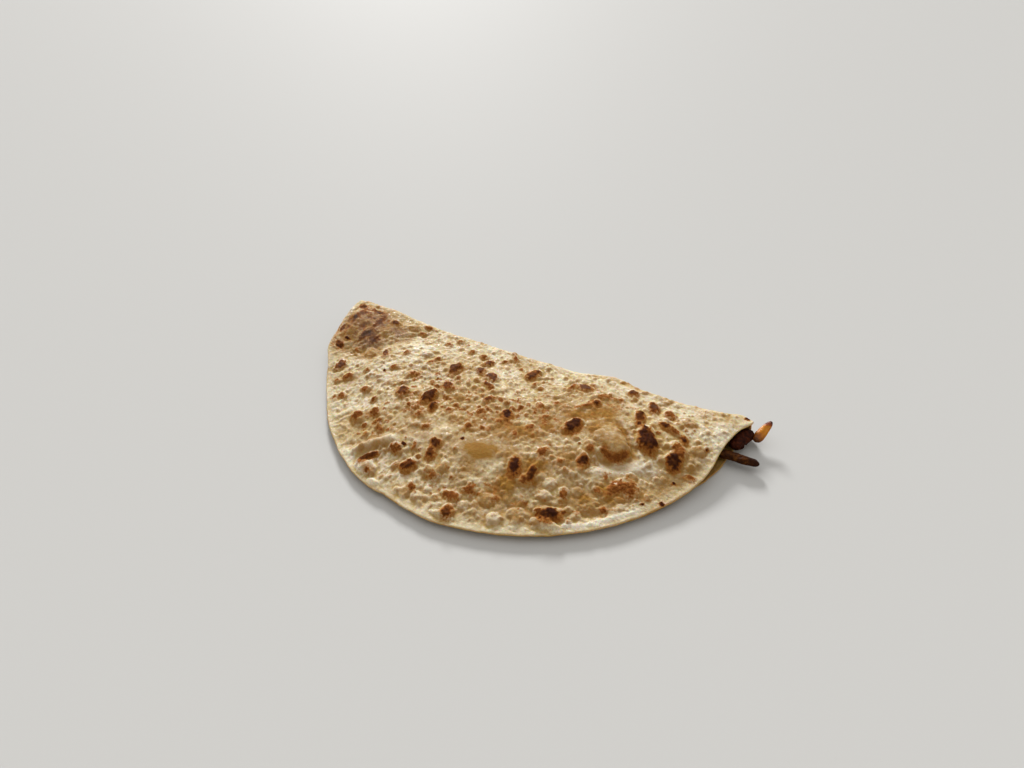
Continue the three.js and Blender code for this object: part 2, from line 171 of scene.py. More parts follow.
def add_patches(patches, x, y):
    """Soft oval patches added up."""
    total = 0.0
    for cx, cy, reach_along, reach_across, degrees, strength in patches:
        along, across = turned(x, y, cx, cy, degrees)
        total = total + strength * bell(np.hypot(along / reach_along, across / reach_across))
    return total


def fold_height(x):
    return THICKNESS / 2 + 2 * bend_radius(x)


def rim_height_at(angle):
    right = fold_height(RIM_CENTRE_X + RIM_RADIUS) - RIM_HEIGHT
    left = fold_height(RIM_CENTRE_X - RIM_RADIUS) - RIM_HEIGHT
    lift = right * bell(angle / RIGHT_LIFT) + left * bell((math.pi - angle) / LEFT_LIFT)
    return RIM_HEIGHT + lift


def rim_angle(x, y):
    return np.arctan2(np.maximum(0, -y), x - RIM_CENTRE_X)


def inward_of_rim(x, y):
    return rim_reach(rim_angle(x, y)) - np.hypot(x - RIM_CENTRE_X, y)


def upper_height(x, y):
    """Height of the middle of the upper layer."""
    inward = inward_of_rim(x, y)
    forward = bend_line(x) - y
    top = lerp(fold_height(x), CREST_HEIGHT, ease(forward / FOLD_SLOPE))
    slope = lerp(rim_height_at(rim_angle(x, y)), top, ease(inward / RIM_SLOPE))
    shaped = slope + add_patches(SWELLS, x, y) * ease(inward / SWELL_FADE)
    return lerp(fold_height(x), shaped, ease(forward / CREST_BLEND))


def sheet_point(x, distance):
    """The sheet's middle surface; distance runs from the fold's crest, over the top positive."""
    bend = bend_radius(x)
    quarter = bend * math.pi / 2
    angle = np.clip(distance / bend, -math.pi / 2, math.pi / 2)
    beyond = np.maximum(np.abs(distance) - quarter, 0)
    y = bend_line(x) + bend * np.cos(angle) - beyond
    round_z = THICKNESS / 2 + bend + bend * np.sin(angle)
    z = np.where(distance > quarter, upper_height(x, y), round_z)
    return np.stack((x, y, z), axis=-1)


def disc_place(across, down):
    """Square sheet parameters to a place on the unit disc."""
    rows = BEND_ROWS + LAYER_ROWS
    level = np.abs(down) * rows
    outer = BEND_SHARE + (1 - BEND_SHARE) * (level - BEND_ROWS) / LAYER_ROWS
    b = np.sign(down) * np.where(level <= BEND_ROWS, BEND_SHARE * level / BEND_ROWS, outer)
    return across * np.sqrt(1 - b * b / 2), b * np.sqrt(1 - across * across / 2)


def flat_place(p, q):
    """A place on the unit disc to a place along and across the unfolded sheet."""
    radius = np.hypot(p, q)
    angle = np.arctan2(q, p)
    side = np.tanh(SIDE_SWITCH * np.sin(angle))
    ragged = layered_noise(RIM_WAVES * np.cos(angle), RIM_WAVES * np.sin(angle), seed=43)
    reach = rim_reach(np.abs(angle)) + overhang_at(np.abs(angle)) * side + RAGGED_RIM * ragged
    x = RIM_CENTRE_X + radius * reach * np.cos(angle)
    return x, radius * (reach * np.sin(angle) + crest_line(x) * side)


def unit(vectors):
    return vectors / np.maximum(np.linalg.norm(vectors, axis=-1, keepdims=True), 1e-9)


# ---- Seeded unevenness ----
TABLE = 256  # cells before the unevenness repeats
LAYER_SHIFT = 17


def lattice_noise(u, v, seed):
    """Smooth noise between -1 and 1, one cell per unit."""
    table = np.random.default_rng(seed).uniform(-1, 1, (TABLE, TABLE))
    iu, iv = np.floor(u).astype(int), np.floor(v).astype(int)
    fu, fv = ease(u - iu), ease(v - iv)
    near_u, near_v, far_u, far_v = iu % TABLE, iv % TABLE, (iu + 1) % TABLE, (iv + 1) % TABLE
    low = lerp(table[near_u, near_v], table[far_u, near_v], fu)
    high = lerp(table[near_u, far_v], table[far_u, far_v], fu)
    return lerp(low, high, fv)


def layered_noise(u, v, seed, layers=3):
    """Each layer after the first is twice as fine and half as strong."""
    total = 0.0
    for layer in range(layers):
        scale = 2**layer
        shifted = u * scale + LAYER_SHIFT * layer
        total = total + lattice_noise(shifted, v * scale, seed + layer) / scale
    return total


# ---- The relief and browning of the top, worked out on a fine grid of the unfolded sheet ----
CELL = 0.35
GRID_X = np.arange(-142.0, 158.0, CELL)
GRID_D = np.arange(-16.0, 156.0, CELL)  # along the sheet from the fold's crest
MAP_X, MAP_D = np.meshgrid(GRID_X, GRID_D)
MAP_Y = crest_line(MAP_X) - MAP_D  # the plan Y of each cell of the upper layer
MAP_INWARD = inward_of_rim(MAP_X, MAP_Y)
EVERYWHERE = np.s_[:, :]
# The relief is in millimetres; the others go from 0 to about 1. Hollow is what lies lower than its
# surroundings, and slope_shade what slopes away from the light: both are painted shade.
MAP_NAMES = ("relief", "brown", "ash", "gold_and_glow", "flour", "hollow", "slope_shade")
MAPS = {name: np.zeros_like(MAP_X) for name in MAP_NAMES}

# Spots and blisters by kind: x, y, length, width and, where it isn't 0, turn in degrees.
CHARRED = (
    (106.9, -44.2, 19, 10, -56), (124.3, -51.8, 11.5, 8.5, -80), (66.5, -54.6, 14.5, 8, 66),
    (79, -112.5, 14, 7, 30), (50.6, -96, 12, 7, -76), (27.6, -63.4, 7, 6, -48),
)
DEEP = (
    (-23, -71.4, 14, 7.5, 82), (60.8, -95.2, 11, 4.5, -85), (3.2, -101.5, 6.5, 6, 0),
    (4.2, -108, 7.5, 5, -75), (81.3, -75.8, 7.5, 5.5, -78), (97.4, -30, 10.5, 5, -71),
    (70.3, -30.6, 6, 4, 62), (32.1, -135, 7.5, 6, -74), (-28.5, -123.5, 12, 4.5, 50),
    (-3.4, -119.6, 9, 7.5, 54), (-15.6, -78, 7, 4.5, -76), (99, -36, 3, 3),
    (112.5, -30.6, 7, 3.6, -25), (125, -35.6, 4.4, 3.4, -60),
)
FADED = (
    (-23.5, -40.3, 11, 8, -84), (23.4, -21.8, 10.5, 7, 69), (-40.1, -74.8, 10, 6.5, -59),
    (101.9, -18.5, 8.5, 6, -61), (-18.3, -58, 8.5, 6.5, -8), (-8.5, -34, 7.5, 5, -47),
    (11.3, -57, 7, 4, 76), (3.8, -45, 7.5, 3.8, -15), (86.4, -11, 5.5, 4.6, -3),
    (-90.1, -17.2, 6, 5),
)
SMUDGED = (
    (-101.6, -20, 17, 7, -84), (-101.9, -35.5, 15, 8, 68), (-93.5, -37, 9, 8),
    (-125.5, -10.5, 9, 7), (-110, -12, 14, 5, -8), (-120.3, -24, 11, 5, 85),
    (-123, -36.5, 10, 4, -62), (-114.5, -50, 9, 6, -30),
)
TANNED = ((-110, -24, 48, 34, 10), (-102, -36, 34, 26, -30), (-84, -22, 20, 16))
ASHEN = (
    (1.6, -36.6, 9, 7.5, -20), (58.2, -19, 8, 5, -7), (-8.2, -24.2, 7.3, 5, 56),
    (-75.1, -47.5, 8, 4, -55), (-99.3, -66.6, 10.5, 7, -87),
)
BROWN = (
    (112.6, -20, 6.5, 6, -21), (119, -32.4, 7, 3.4, -25), (-55.3, -101.2, 8, 7, 67),
    (-16, -113, 9, 5.5, 1), (81, -98.8, 7, 4.5, -75), (95.5, -87.8, 4, 3.5),
    (50.7, -21.8, 8.5, 3, 76), (-15, -19, 5, 4), (29, -30, 3, 5), (5, -11.4, 6.5, 3.2, -44),
    (0, -17, 4, 3), (-5, -76, 4, 4), (-40, -37, 4, 5), (-42, -42, 4, 4), (26.6, -71.2, 4, 3),
    (48.7, -54.8, 4, 3.5), (49, -41, 3, 3), (82, -66, 4, 5), (39.9, -76, 5, 3, -57),
    (67, -35, 7, 3, 50), (-7.2, -107.4, 6, 3, -60), (-66, -80, 6, 5), (-78, -90, 5, 4),
    (-86.5, -74, 7, 7), (-82, -93, 3, 3), (-91, -79.7, 3.5, 3), (-19, -87, 4, 4),
    (-28.9, -83.3, 5, 2.6, -38), (-53.7, -86.2, 4.6, 3, 82), (59, -101, 4, 5),
    (20.5, -80.3, 4, 3.2, -24), (13, -83, 4, 4), (7, -130, 5, 4), (70.8, -82, 5.6, 3.4, 55),
    (-67.9, -16, 4.6, 4), (-67.6, -8.1, 6, 3), (-61, -57, 4, 4), (-77, -65, 3, 3), (-63, -41, 3, 5),
    (-44, -18, 4, 3), (-25, -18, 4, 4), (-39, -11, 4, 3), (44.7, -66.7, 4.6, 3.2, 45),
    (82, -21, 3.5, 3), (42, -50, 3, 3), (-99.3, -49.7, 6, 3.4, -60), (-22.4, -132.4, 4, 3, 76),
    (-9.5, -93.4, 4.5, 3, 23),
)
REDDISH = (
    (124.5, -44, 11, 8.5, -60), (135.5, -56.5, 5, 4), (59.8, -80.2, 10, 5.5, 69),
    (108, -79.5, 13, 10, 20), (102.3, -83.8, 9, 5, 54), (-46.2, -94.9, 8.7, 6, -26),
    (-35.3, -104.3, 6, 3.4, -33), (-39.6, -100, 5, 3.4, 21), (13, -69, 5, 6), (45, -67, 5, 5),
    (36, -119, 6, 5), (29, -126, 10, 5), (-45, -58, 5, 4), (102.7, -96.7, 5, 2.6, -69),
)
AMBER = (
    (-6, -63, 6, 5), (72, -22, 5, 5), (83, -56, 5, 8), (124, -22, 8, 5), (134.5, -39, 7, 6),
    (-55, -101, 10, 9), (-35, -112, 5, 5), (-25, -130.5, 12, 8), (10, -119, 6, 6), (16, -113, 5, 7),
    (47.5, -120, 9, 7), (5, -135, 6, 6), (31, -138, 12, 4), (81, -119, 16, 6), (65, -120, 9, 7),
    (87, -94, 6, 6), (92.6, -97.1, 4, 4), (95.8, -95.3, 4, 4), (108, -72, 5, 5), (-76, -13.4, 9, 6),
    (-87.5, -48.5, 9, 8), (-98.8, -48.7, 6, 5),
)
PALE = (
    (72, -97, 7, 7), (72.5, -104, 7, 6), (38, -128.5, 6, 5), (56, -128, 8, 7), (12, -134, 7, 6),
    (-15, -137, 8, 4), (111, -84.5, 4, 4), (110, -91, 4, 4), (-51, -35, 8, 8),
)
PINKISH = (
    (39, -33.5, 8, 6), (129, -9, 8, 6), (-10, -91, 10, 10), (-25, -87, 5, 7), (-71, -51, 6, 5),
    (-73.5, -17, 6, 8),
)
SPECKS = (
    (138, -36, 1.5, 1.5), (129, -64, 1.5, 1.5), (152, -3, 3, 3), (-14, -109, 3, 2),
    (15, -92.5, 2, 2), (128, -79, 3, 3), (119, -84, 1.5, 1.5), (-113, -43, 5, 2.5),
    (-65, -62, 2, 2),
)
GREYED = (
    (-93, -40, 22, 14, 0), (-47, -50, 16, 9, 30), (-10, -35, 16, 7, 60), (-36, -58, 9, 6),
    (6, -43, 12, 6, 20),
)
BUBBLE = ((91, -56.5, 20, 18, -35),)

# How each kind of spot looks: rise as a share of its mean length, how far the blister reaches past
# the coloured core, browning of the core, painted shade on the fringe before it, ash, gold with a
# painted glow on the shaded side, and flour.
SPOT_LOOK = (
    (BUBBLE, 0.05, 0.0, 0.06, 0.0, 0.0, 0.75, 0.0),
    (PALE, 0.24, 0.4, 0.0, 0.0, 0.0, 0.3, 0.6),
    (GREYED, 0.0, 1.5, 0.06, 0.0, 0.5, 0.0, 0.0),
    (AMBER, 0.2, 0.7, 0.0, 0.06, 0.0, 0.7, 0.0),
    (PINKISH, 0.05, 1.0, 0.14, 0.1, 0.1, 0.1, 0.2),
    (TANNED, 0.0, 4.0, 0.22, 0.1, 0.5, 0.5, 0.0),
    (SMUDGED, 0.02, 2.6, 0.74, 0.16, 0.3, 0.4, 0.0),
    (REDDISH, 0.16, 1.0, 0.48, 0.18, 0.0, 0.6, 0.0),
    (BROWN, 0.26, 0.9, 0.46, 0.12, 0.0, 0.6, 0.1),
    (ASHEN, 0.2, 1.2, 0.68, 0.16, 0.4, 0.3, 0.2),
    (FADED, 0.24, 1.2, 0.7, 0.18, 0.25, 0.6, 0.0),
    (DEEP, 0.25, 1.2, 0.82, 0.24, 0.08, 0.8, 0.0),
    (CHARRED, 0.2, 1.4, 1.0, 0.32, 0.08, 0.9, 0.0),
    (SPECKS, 0.1, 0.1, 1.3, 0.2, 0.0, 0.0, 0.0),
)
SHADED = (0.5, -0.86)  # the side of a blister that lies away from the light

DOME_JOIN = 0.35  # how much of the lower of two reliefs is added to the higher one
LIT_EDGE = 2.5  # how sharply the lit side of a blister begins
SPOT_SEED, SPOT_FULLNESS = 5, 0.55
GRAIN_PITCH = 1.3  # millimetres
LOBES, LOBE_SHARE = 1.7, 0.16  # in a spot's mean length, and how far they push its outline
CORE_SHIFT, FRINGE_SHIFT = 0.04, 0.2  # away from the light, as a share of the mean length
FRINGE_REACH = 0.9  # past the blister
CORE_EDGE = (1.5, 3.5)  # how sharp a flat spot's core is, and how much sharper with its rise
# Where the painted highlight on the lit edge of a blister lies, as a share of its reach, and how
# narrow it is.
PALE_EDGE_AT, PALE_EDGE_SHARPNESS = 0.93, 0.8


def window(x, y, reach):
    """The patch of the maps within reach of a place of the top."""
    distance = float(crest_line(x) - y)
    first_c, last_c = np.searchsorted(GRID_X, (x - reach, x + reach))
    first_r, last_r = np.searchsorted(GRID_D, (distance - reach, distance + reach))
    return np.s_[first_r:last_r, first_c:last_c]


def raise_to(patch, height):
    """A dome joins the relief under it with a soft edge."""
    under = MAPS["relief"][patch]
    MAPS["relief"][patch] = np.maximum(under, height) + DOME_JOIN * np.minimum(under, height)


def paint(name, patch, amount):
    """A map keeps the stronger of what it holds and what is painted over it."""
    MAPS[name][patch] = np.maximum(MAPS[name][patch], amount)


def dome(radius, fullness):
    """Height of a blister from 0 at its foot to 1 at its top."""
    return clamp01(1 - radius * radius) ** fullness


def lit_side(px, py, x, y, size):
    """1 on the side of a blister that faces the light, 0 on the other."""
    return clamp01(-LIT_EDGE * ((px - x) * SHADED[0] + (py - y) * SHADED[1]) / size)


def lay_spot(spot, look, rng):
    """A blister with a browned core, painted shade and glow on its fringe away from the light, and
    a painted highlight on its lit edge.
    """
    x, y, length, width, *turn = spot
    rise, margin, core, fringe_shade, ash, gold_and_glow, flour = look
    size = (length + width) / 2
    reach, fringe = 1 + 2 * margin / size, 1 + 2 * (margin + FRINGE_REACH) / size
    patch = window(x, y, size * 1.2 + margin + 3)
    px, py = MAP_X[patch], MAP_Y[patch]
    grain = layered_noise(px / GRAIN_PITCH, py / GRAIN_PITCH, int(rng.integers(1e6)), layers=2)
    lobes = layered_noise(px / size * LOBES, py / size * LOBES, int(rng.integers(1e6)), layers=2)

    def radius(shift):
        """1 at the outline of a spot that is shifted away from the light."""
        cx, cy = x + shift * size * SHADED[0], y + shift * size * SHADED[1]
        along, across = turned(px, py, cx, cy, turn[0] if turn else 0)
        return 2 * np.hypot(along / length, across / width) / (1 + LOBE_SHARE * lobes)

    middle, front, whole = radius(CORE_SHIFT), radius(FRINGE_SHIFT), radius(0)
    swollen = dome(whole / reach, SPOT_FULLNESS)
    raise_to(patch, rise * size * swollen * (1 + 0.15 * lobes + 0.14 * grain))
    dark = clamp01((1.1 + 0.24 * grain - middle) * (CORE_EDGE[0] + CORE_EDGE[1] * rise))
    paint("brown", patch, core * dark * (0.94 + 0.2 * grain))
    # Painted shade and glow: the brown fringe and the gold are shifted to the side away from the
    # light.
    paint("brown", patch, fringe_shade * ease((fringe + 0.15 * grain - front) / 0.5))
    paint("ash", patch, ash * dark)
    paint("gold_and_glow", patch, gold_and_glow * ease((fringe + 0.1 - front) / 0.6))
    paint("flour", patch, flour * swollen)
    # Painted highlight: a pale edge on the side of the blister that faces the light.
    edge = bell((whole - PALE_EDGE_AT * reach) * size * PALE_EDGE_SHARPNESS)
    paint("flour", patch, min(0.9, 7 * rise) * edge * lit_side(px, py, x, y, size))


def lay_spots():
    rng = np.random.default_rng(SPOT_SEED)
    for spots, *look in SPOT_LOOK:
        for spot in spots:
            lay_spot(spot, look, rng)


# Stretches of the top, as soft patches: x, y, reach along, reach across, turn, and strength.
# Where small blisters crowd.
CROWDED = (
    (5, -62, 62, 26, 30, 0.8), (-40, -70, 30, 20, 45, 0.6), (60, -85, 50, 30, 10, 0.6),
    (30, -112, 60, 22, 10, 0.8), (85, -45, 40, 25, 0, 0.5), (10, -22, 70, 16, 5, 0.4),
    (-70, -70, 40, 26, 50, 0.3), (-110, -25, 26, 18, 0, 0.2), (115, -30, 25, 24, 0, 0.4),
)
# Where they and the dough between them are browned.
TOASTED = (
    (-32, -60, 26, 12, 40, 0.8), (5, -66, 40, 12, 30, 0.7), (-65, -46, 12, 8, 70, 0.5),
    (40, -60, 26, 14, 10, 0.6), (74, -24, 22, 8, 0, 0.6), (102, -79, 14, 9, 10, 0.9),
    (30, -118, 34, 10, 5, 0.6), (80, -112, 24, 8, 10, 0.5), (-114, -24, 24, 18, 0, 1.0),
    (-40, -104, 16, 10, 40, 0.6), (-20, -14, 40, 8, 5, 0.3), (120, -24, 12, 10, 0, 0.5),
)
# Golden, oily stretches of dough; the patch at (139, -60) is painted shade where the right edge
# curves down.
GOLDEN = (
    (31, -95.5, 8, 6, 10, 0.7), (24, -96, 12, 7, 10, 0.5), (22, -74, 52, 26, 18, 0.42),
    (54, -62, 28, 15, 20, 0.55), (90, -53, 18, 10, -60, 1.0), (92, -57, 11, 10, -50, 0.9),
    (64, -78, 14, 9, 20, 0.8), (70, -43, 14, 9, 0, 0.4), (133, -44, 10, 12, 0, 0.35),
    (128, -70, 14, 13, 40, 0.45), (139, -60, 9, 12, -30, 0.6), (51, -134, 16, 7, 0, 0.35),
    (74, -40, 20, 14, 0, 0.5), (45, -112, 50, 20, 5, 0.45), (-20, -112, 24, 14, 20, 0.5),
    (100, -84, 20, 9, 20, 0.5), (-116, -24, 26, 20, 0, 1.1), (-84, -78, 20, 8, 30, 0.4),
    (70, -102, 40, 16, 15, 0.5), (-45, -62, 34, 14, 45, 0.3), (128, -60, 10, 14, 10, 0.3),
)
# Smoother stretches, first the thin amber blister, the long bubble and the white hollow before it.
CALM = (
    (28, -96, 12, 7, 10, 1.4), (91, -57, 10, 8, -40, 0.15), (100, -70, 12, 4, 28, 1.0),
    (58, -100, 12, 8, 0, 0.4), (-5, -98, 16, 8, 10, 0.3),
)
# Dry white flour. The first patch, in the white hollow before the bubble, is also painted highlight
# on its lit wall.
FLOURED = (
    (101, -71, 13, 5.5, 28, 1.8), (3, -32, 14, 7, 20, 1.0), (-5, -13, 82, 11, 0, 0.45),
    (-50, -24, 26, 14, 0, 0.5), (-60, -66, 28, 18, 40, 0.85), (-24, -56, 14, 12, 0, 0.8),
    (-24, -118, 26, 10, 30, 0.7), (6, -127, 26, 12, 10, 0.6), (-5, -105, 26, 9, 10, 0.6),
    (91, -90, 12, 8, 20, 0.4), (-80, -55, 28, 15, 30, 0.6), (-57, -92, 22, 15, 40, 0.6),
    (-22, -128, 28, 8, 25, 0.7), (-48, -32, 24, 10, 30, 0.6), (112, -62, 12, 12, 30, 0.6),
    (140, -26, 20, 22, 0, 0.6), (116, -90, 20, 6, 45, 0.55), (70, -84, 12, 8, 20, 0.3),
    (104, -18, 34, 14, -12, 0.7),
)

BLISTER_SEED, BLISTER_TRIES = 29, 3600
BLISTER_CLEARANCE = 3  # from the rim
BLISTER_RADII = (1.0, 1.8, 2.5)  # the least, the span above it, and how strongly small ones prevail
BLISTER_RISE, BLISTER_FULLNESS = 0.37, 0.7  # the rise is a share of the radius


def spread(patches, x, y):
    return clamp01(add_patches(patches, x, y))


def lay_small_blisters():
    """Pinhead- to pea-size blisters: a painted highlight on the lit back edge, a painted golden
    glow on the shaded front, the touched ones browned.
    """
    rng = np.random.default_rng(BLISTER_SEED)
    least, span, bias = BLISTER_RADII
    for _ in range(BLISTER_TRIES):
        angle = math.pi * rng.random()
        reach = float(rim_reach(angle)) - BLISTER_CLEARANCE
        distance = reach * math.sqrt(rng.random())
        x, y = RIM_CENTRE_X + distance * math.cos(angle), -distance * math.sin(angle)
        size = least + span * rng.random() ** bias
        browned, kept, slender = rng.random(), rng.random(), rng.uniform(0.5, 1)
        degrees, strength = rng.uniform(0, 180), rng.uniform(0.1, 0.35)
        golden = rng.uniform(0.2, 0.8)
        crowd = 0.85 * spread(CROWDED, x, y) - 1.3 * spread(CALM, x, y) + 0.10
        rightward = ease((x + 90) / 90)  # fewer and paler ones on the left
        if kept > crowd * (0.3 + 0.7 * rightward):
            continue
        patch = window(x, y, size * 1.8 + 1)
        px, py = MAP_X[patch], MAP_Y[patch]
        if px.size == 0:
            continue
        along, across = turned(px, py, x, y, degrees)
        radius = np.hypot(along / size, across / (size * slender))
        raise_to(patch, BLISTER_RISE * size * dome(radius, BLISTER_FULLNESS))
        # Painted glow on the front away from the light, and a painted highlight on the back edge
        # that faces it.
        front = np.hypot(px - x - 0.3 * size * SHADED[0], py - y - 0.3 * size * SHADED[1]) / size
        tint = clamp01((1 - front) * 2.2)
        paint("gold_and_glow", patch, golden * tint)
        paint("flour", patch, 0.6 * bell((radius - 0.85) / 0.25) * lit_side(px, py, x, y, size))
        if browned < (0.45 * spread(TOASTED, x, y) + 0.04) * (0.5 + 0.5 * rightward):
            paint("brown", patch, strength * tint)


# Raised or sunken lines: points, half width, rise, then browning, gold and flour along the line.
LINES = (
    (((-43, -130), (-38, -122.5), (-29, -113), (-18, -105.5)), 2.0, 0.9, 0.0, 0.0, 0.8),
    (((-47, -123), (-39, -115), (-28, -106)), 2.6, -0.6, 0.0, 0.5, 0.0),
    (((88, -63), (91, -65), (95, -65.8), (99, -63.5), (100.5, -59)), 2.2, -0.2, 0.44, 1.0, 0.0),
    (((89, -69.5), (95, -68.5), (100, -65), (105.5, -60.5)), 2.4, -0.9, 0.0, 0.0, 0.8),
    (((88, -77), (95, -75.5), (101, -71.5), (107, -67.5), (112, -63)), 3.6, 1.4, 0.0, 0.0, 0.9),
    (((84.5, -36.5), (93, -46), (101, -54.5), (107, -62)), 1.9, -0.9, 0.05, 0.7, 0.0),
    (
        ((87, -35.3), (95.4, -44), (104.2, -52), (109.5, -59), (115.6, -64.7)),
        1.2, 0.7, 0.0, 0.0, 0.7,
    ),
    (((52, -8), (66, -3), (82, -4), (96, -8)), 1.8, -0.8, 0.05, 0.1, 0.0),
    (
        ((-128, -47), (-112, -48), (-98, -44), (-86, -36), (-77, -22), (-68, -6)),
        2.8, 0.5, 0.05, 0.2, 0.4,
    ),
    (((58, -42), (66, -36), (72, -29)), 1.6, 0.4, 0.3, 0.7, 0.0),
    (((-15, -76), (0, -60), (12, -48), (23, -31)), 1.9, 0.5, 0.08, 0.5, 0.0),
    (((26, -31), (44, -27), (63, -23)), 1.8, 0.5, 0.08, 0.4, 0.2),
    (((-60, -70), (-44, -52), (-30, -36)), 1.8, 0.4, 0.05, 0.3, 0.2),
    (((-82, -72), (-68, -52), (-56, -38)), 1.9, 0.4, 0.05, 0.2, 0.2),
    (((-101, -70), (-88, -58), (-80, -46)), 1.9, 0.4, 0.05, 0.2, 0.2),
    (
        ((-130, -30), (-124.9, -38.6), (-121, -47), (-119.3, -53.1), (-114.3, -53.8)),
        1.6, 0.1, 0.24, 0.7, 0.0,
    ),
    (
        ((89, -100), (92.6, -100.8), (98.2, -98.2), (104.6, -95.9), (110, -92)),
        1.6, 0.9, 0.12, 0.6, 0.0,
    ),
    (
        ((86, -116), (94.9, -112.6), (103.8, -104.9), (114.3, -93.5), (120.7, -86.2)),
        1.9, 0.8, 0.0, 0.0, 1.0,
    ),
    (((92, -107.5), (101, -100.5), (110, -91)), 1.8, -0.6, 0.0, 0.4, 0.0),
)
LINE_STEPS = 12  # between two points
LINE_TAPER = 0.5  # a line's ends fade over this share of the way between two points


def lay_line(points, half_width, rise, brown, gold_and_glow, flour):
    points = np.array(points, dtype=float)
    steps = np.linspace(0, len(points) - 1, LINE_STEPS * (len(points) - 1) + 1)
    route = np.stack([np.interp(steps, range(len(points)), c) for c in points.T], axis=-1)
    ends = ease(np.minimum(steps, steps[-1] - steps) / LINE_TAPER)
    profile = np.zeros_like(MAP_X)
    ragged = 1 + 0.3 * layered_noise(MAP_X / 4, MAP_Y / 4, seed=211, layers=2)
    for (x, y), end in zip(route, ends):
        patch = window(x, y, 3 * half_width)
        distance = np.hypot(MAP_X[patch] - x, MAP_Y[patch] - y) * ragged[patch]
        profile[patch] = np.maximum(profile[patch], end * bell(distance / half_width))
    MAPS["relief"] += rise * profile
    paint("brown", EVERYWHERE, brown * clamp01(profile * 1.4 * ragged))
    paint("gold_and_glow", EVERYWHERE, gold_and_glow * profile)
    paint("flour", EVERYWHERE, flour * profile)


WRINKLE_RISE, BEAD_RISE, GRAIN_RISE, WAVE_RISE = 0.75, 0.48, 0.24, 0.4
WRINKLE_HEADING = 62  # degrees
WRINKLE_LENGTH, WRINKLE_PITCH, BEAD_PITCH = 11, 4.6, 2.3
BEAD_WANDER = 0.6  # a bead's middle keeps within this share of its cell
BEAD_SPREAD = 0.3  # a bead's radius squared, in cells


def beads(x, y, pitch, seed):
    """Round beads, one to a cell of that pitch, each with its own height between 0 and 1."""
    table = np.random.default_rng(seed).random((3, TABLE, TABLE))
    free = (1 - BEAD_WANDER) / 2
    u, v = x / pitch, y / pitch
    iu, iv = np.floor(u).astype(int), np.floor(v).astype(int)
    height = np.zeros_like(u)
    for cell_u, cell_v in ((iu + i, iv + j) for i in (-1, 0, 1) for j in (-1, 0, 1)):
        shift_u, shift_v, tall = table[:, cell_u % TABLE, cell_v % TABLE]
        away_u = u - cell_u - free - BEAD_WANDER * shift_u
        away_v = v - cell_v - free - BEAD_WANDER * shift_v
        height = np.maximum(height, tall * clamp01(1 - (away_u**2 + away_v**2) / BEAD_SPREAD))
    return height


def lay_ridges():
    """Wrinkles, most of them on the left, beads of the dough, its grain, and slow waves."""
    along, across = turned(MAP_X, MAP_Y, 0, 0, WRINKLE_HEADING)
    across = across + 4 * lattice_noise(along / 23, across / 19, seed=61)
    folds = layered_noise(along / WRINKLE_LENGTH, across / WRINKLE_PITCH, seed=83, layers=2)
    wrinkles = clamp01(1 - np.abs(folds) * 1.7) ** 2
    left_share = ease((50 - MAP_X) / 120) * 0.75 + 0.25
    rough = 1 - 0.92 * spread(CALM, MAP_X, MAP_Y)
    crowded = 0.5 + 0.5 * spread(CROWDED, MAP_X, MAP_Y)
    grain = layered_noise(MAP_X / 2.6, MAP_Y / 1.9, seed=97, layers=2)
    waves = layered_noise(MAP_X / 11, MAP_Y / 9, seed=101, layers=2)
    MAPS["relief"] += WRINKLE_RISE * left_share * wrinkles * rough
    MAPS["relief"] += BEAD_RISE * crowded * rough * beads(MAP_X, MAP_Y, BEAD_PITCH, seed=89)
    MAPS["relief"] += GRAIN_RISE * grain * rough
    MAPS["relief"] += WAVE_RISE * waves
    # Lower towards the bend and the rim.
    MAPS["relief"] *= 0.4 + 0.6 * ease((MAP_D - 1) / 8)
    MAPS["relief"] *= 0.5 + 0.5 * ease(MAP_INWARD / 3)


def softened(values, reach):
    """The map smoothed over that reach in millimetres."""
    rows, columns = values.shape
    fr, fc = np.fft.fftfreq(rows, CELL), np.fft.rfftfreq(columns, CELL)
    keep = np.exp(-2 * (math.pi * reach) ** 2 * (fr[:, None] ** 2 + fc[None, :] ** 2))
    return np.fft.irfft2(np.fft.rfft2(values) * keep, s=values.shape)


LEVEL_REACH, SLOPE_REACH = 1.6, 0.35  # millimetres over which height and slope are evened out


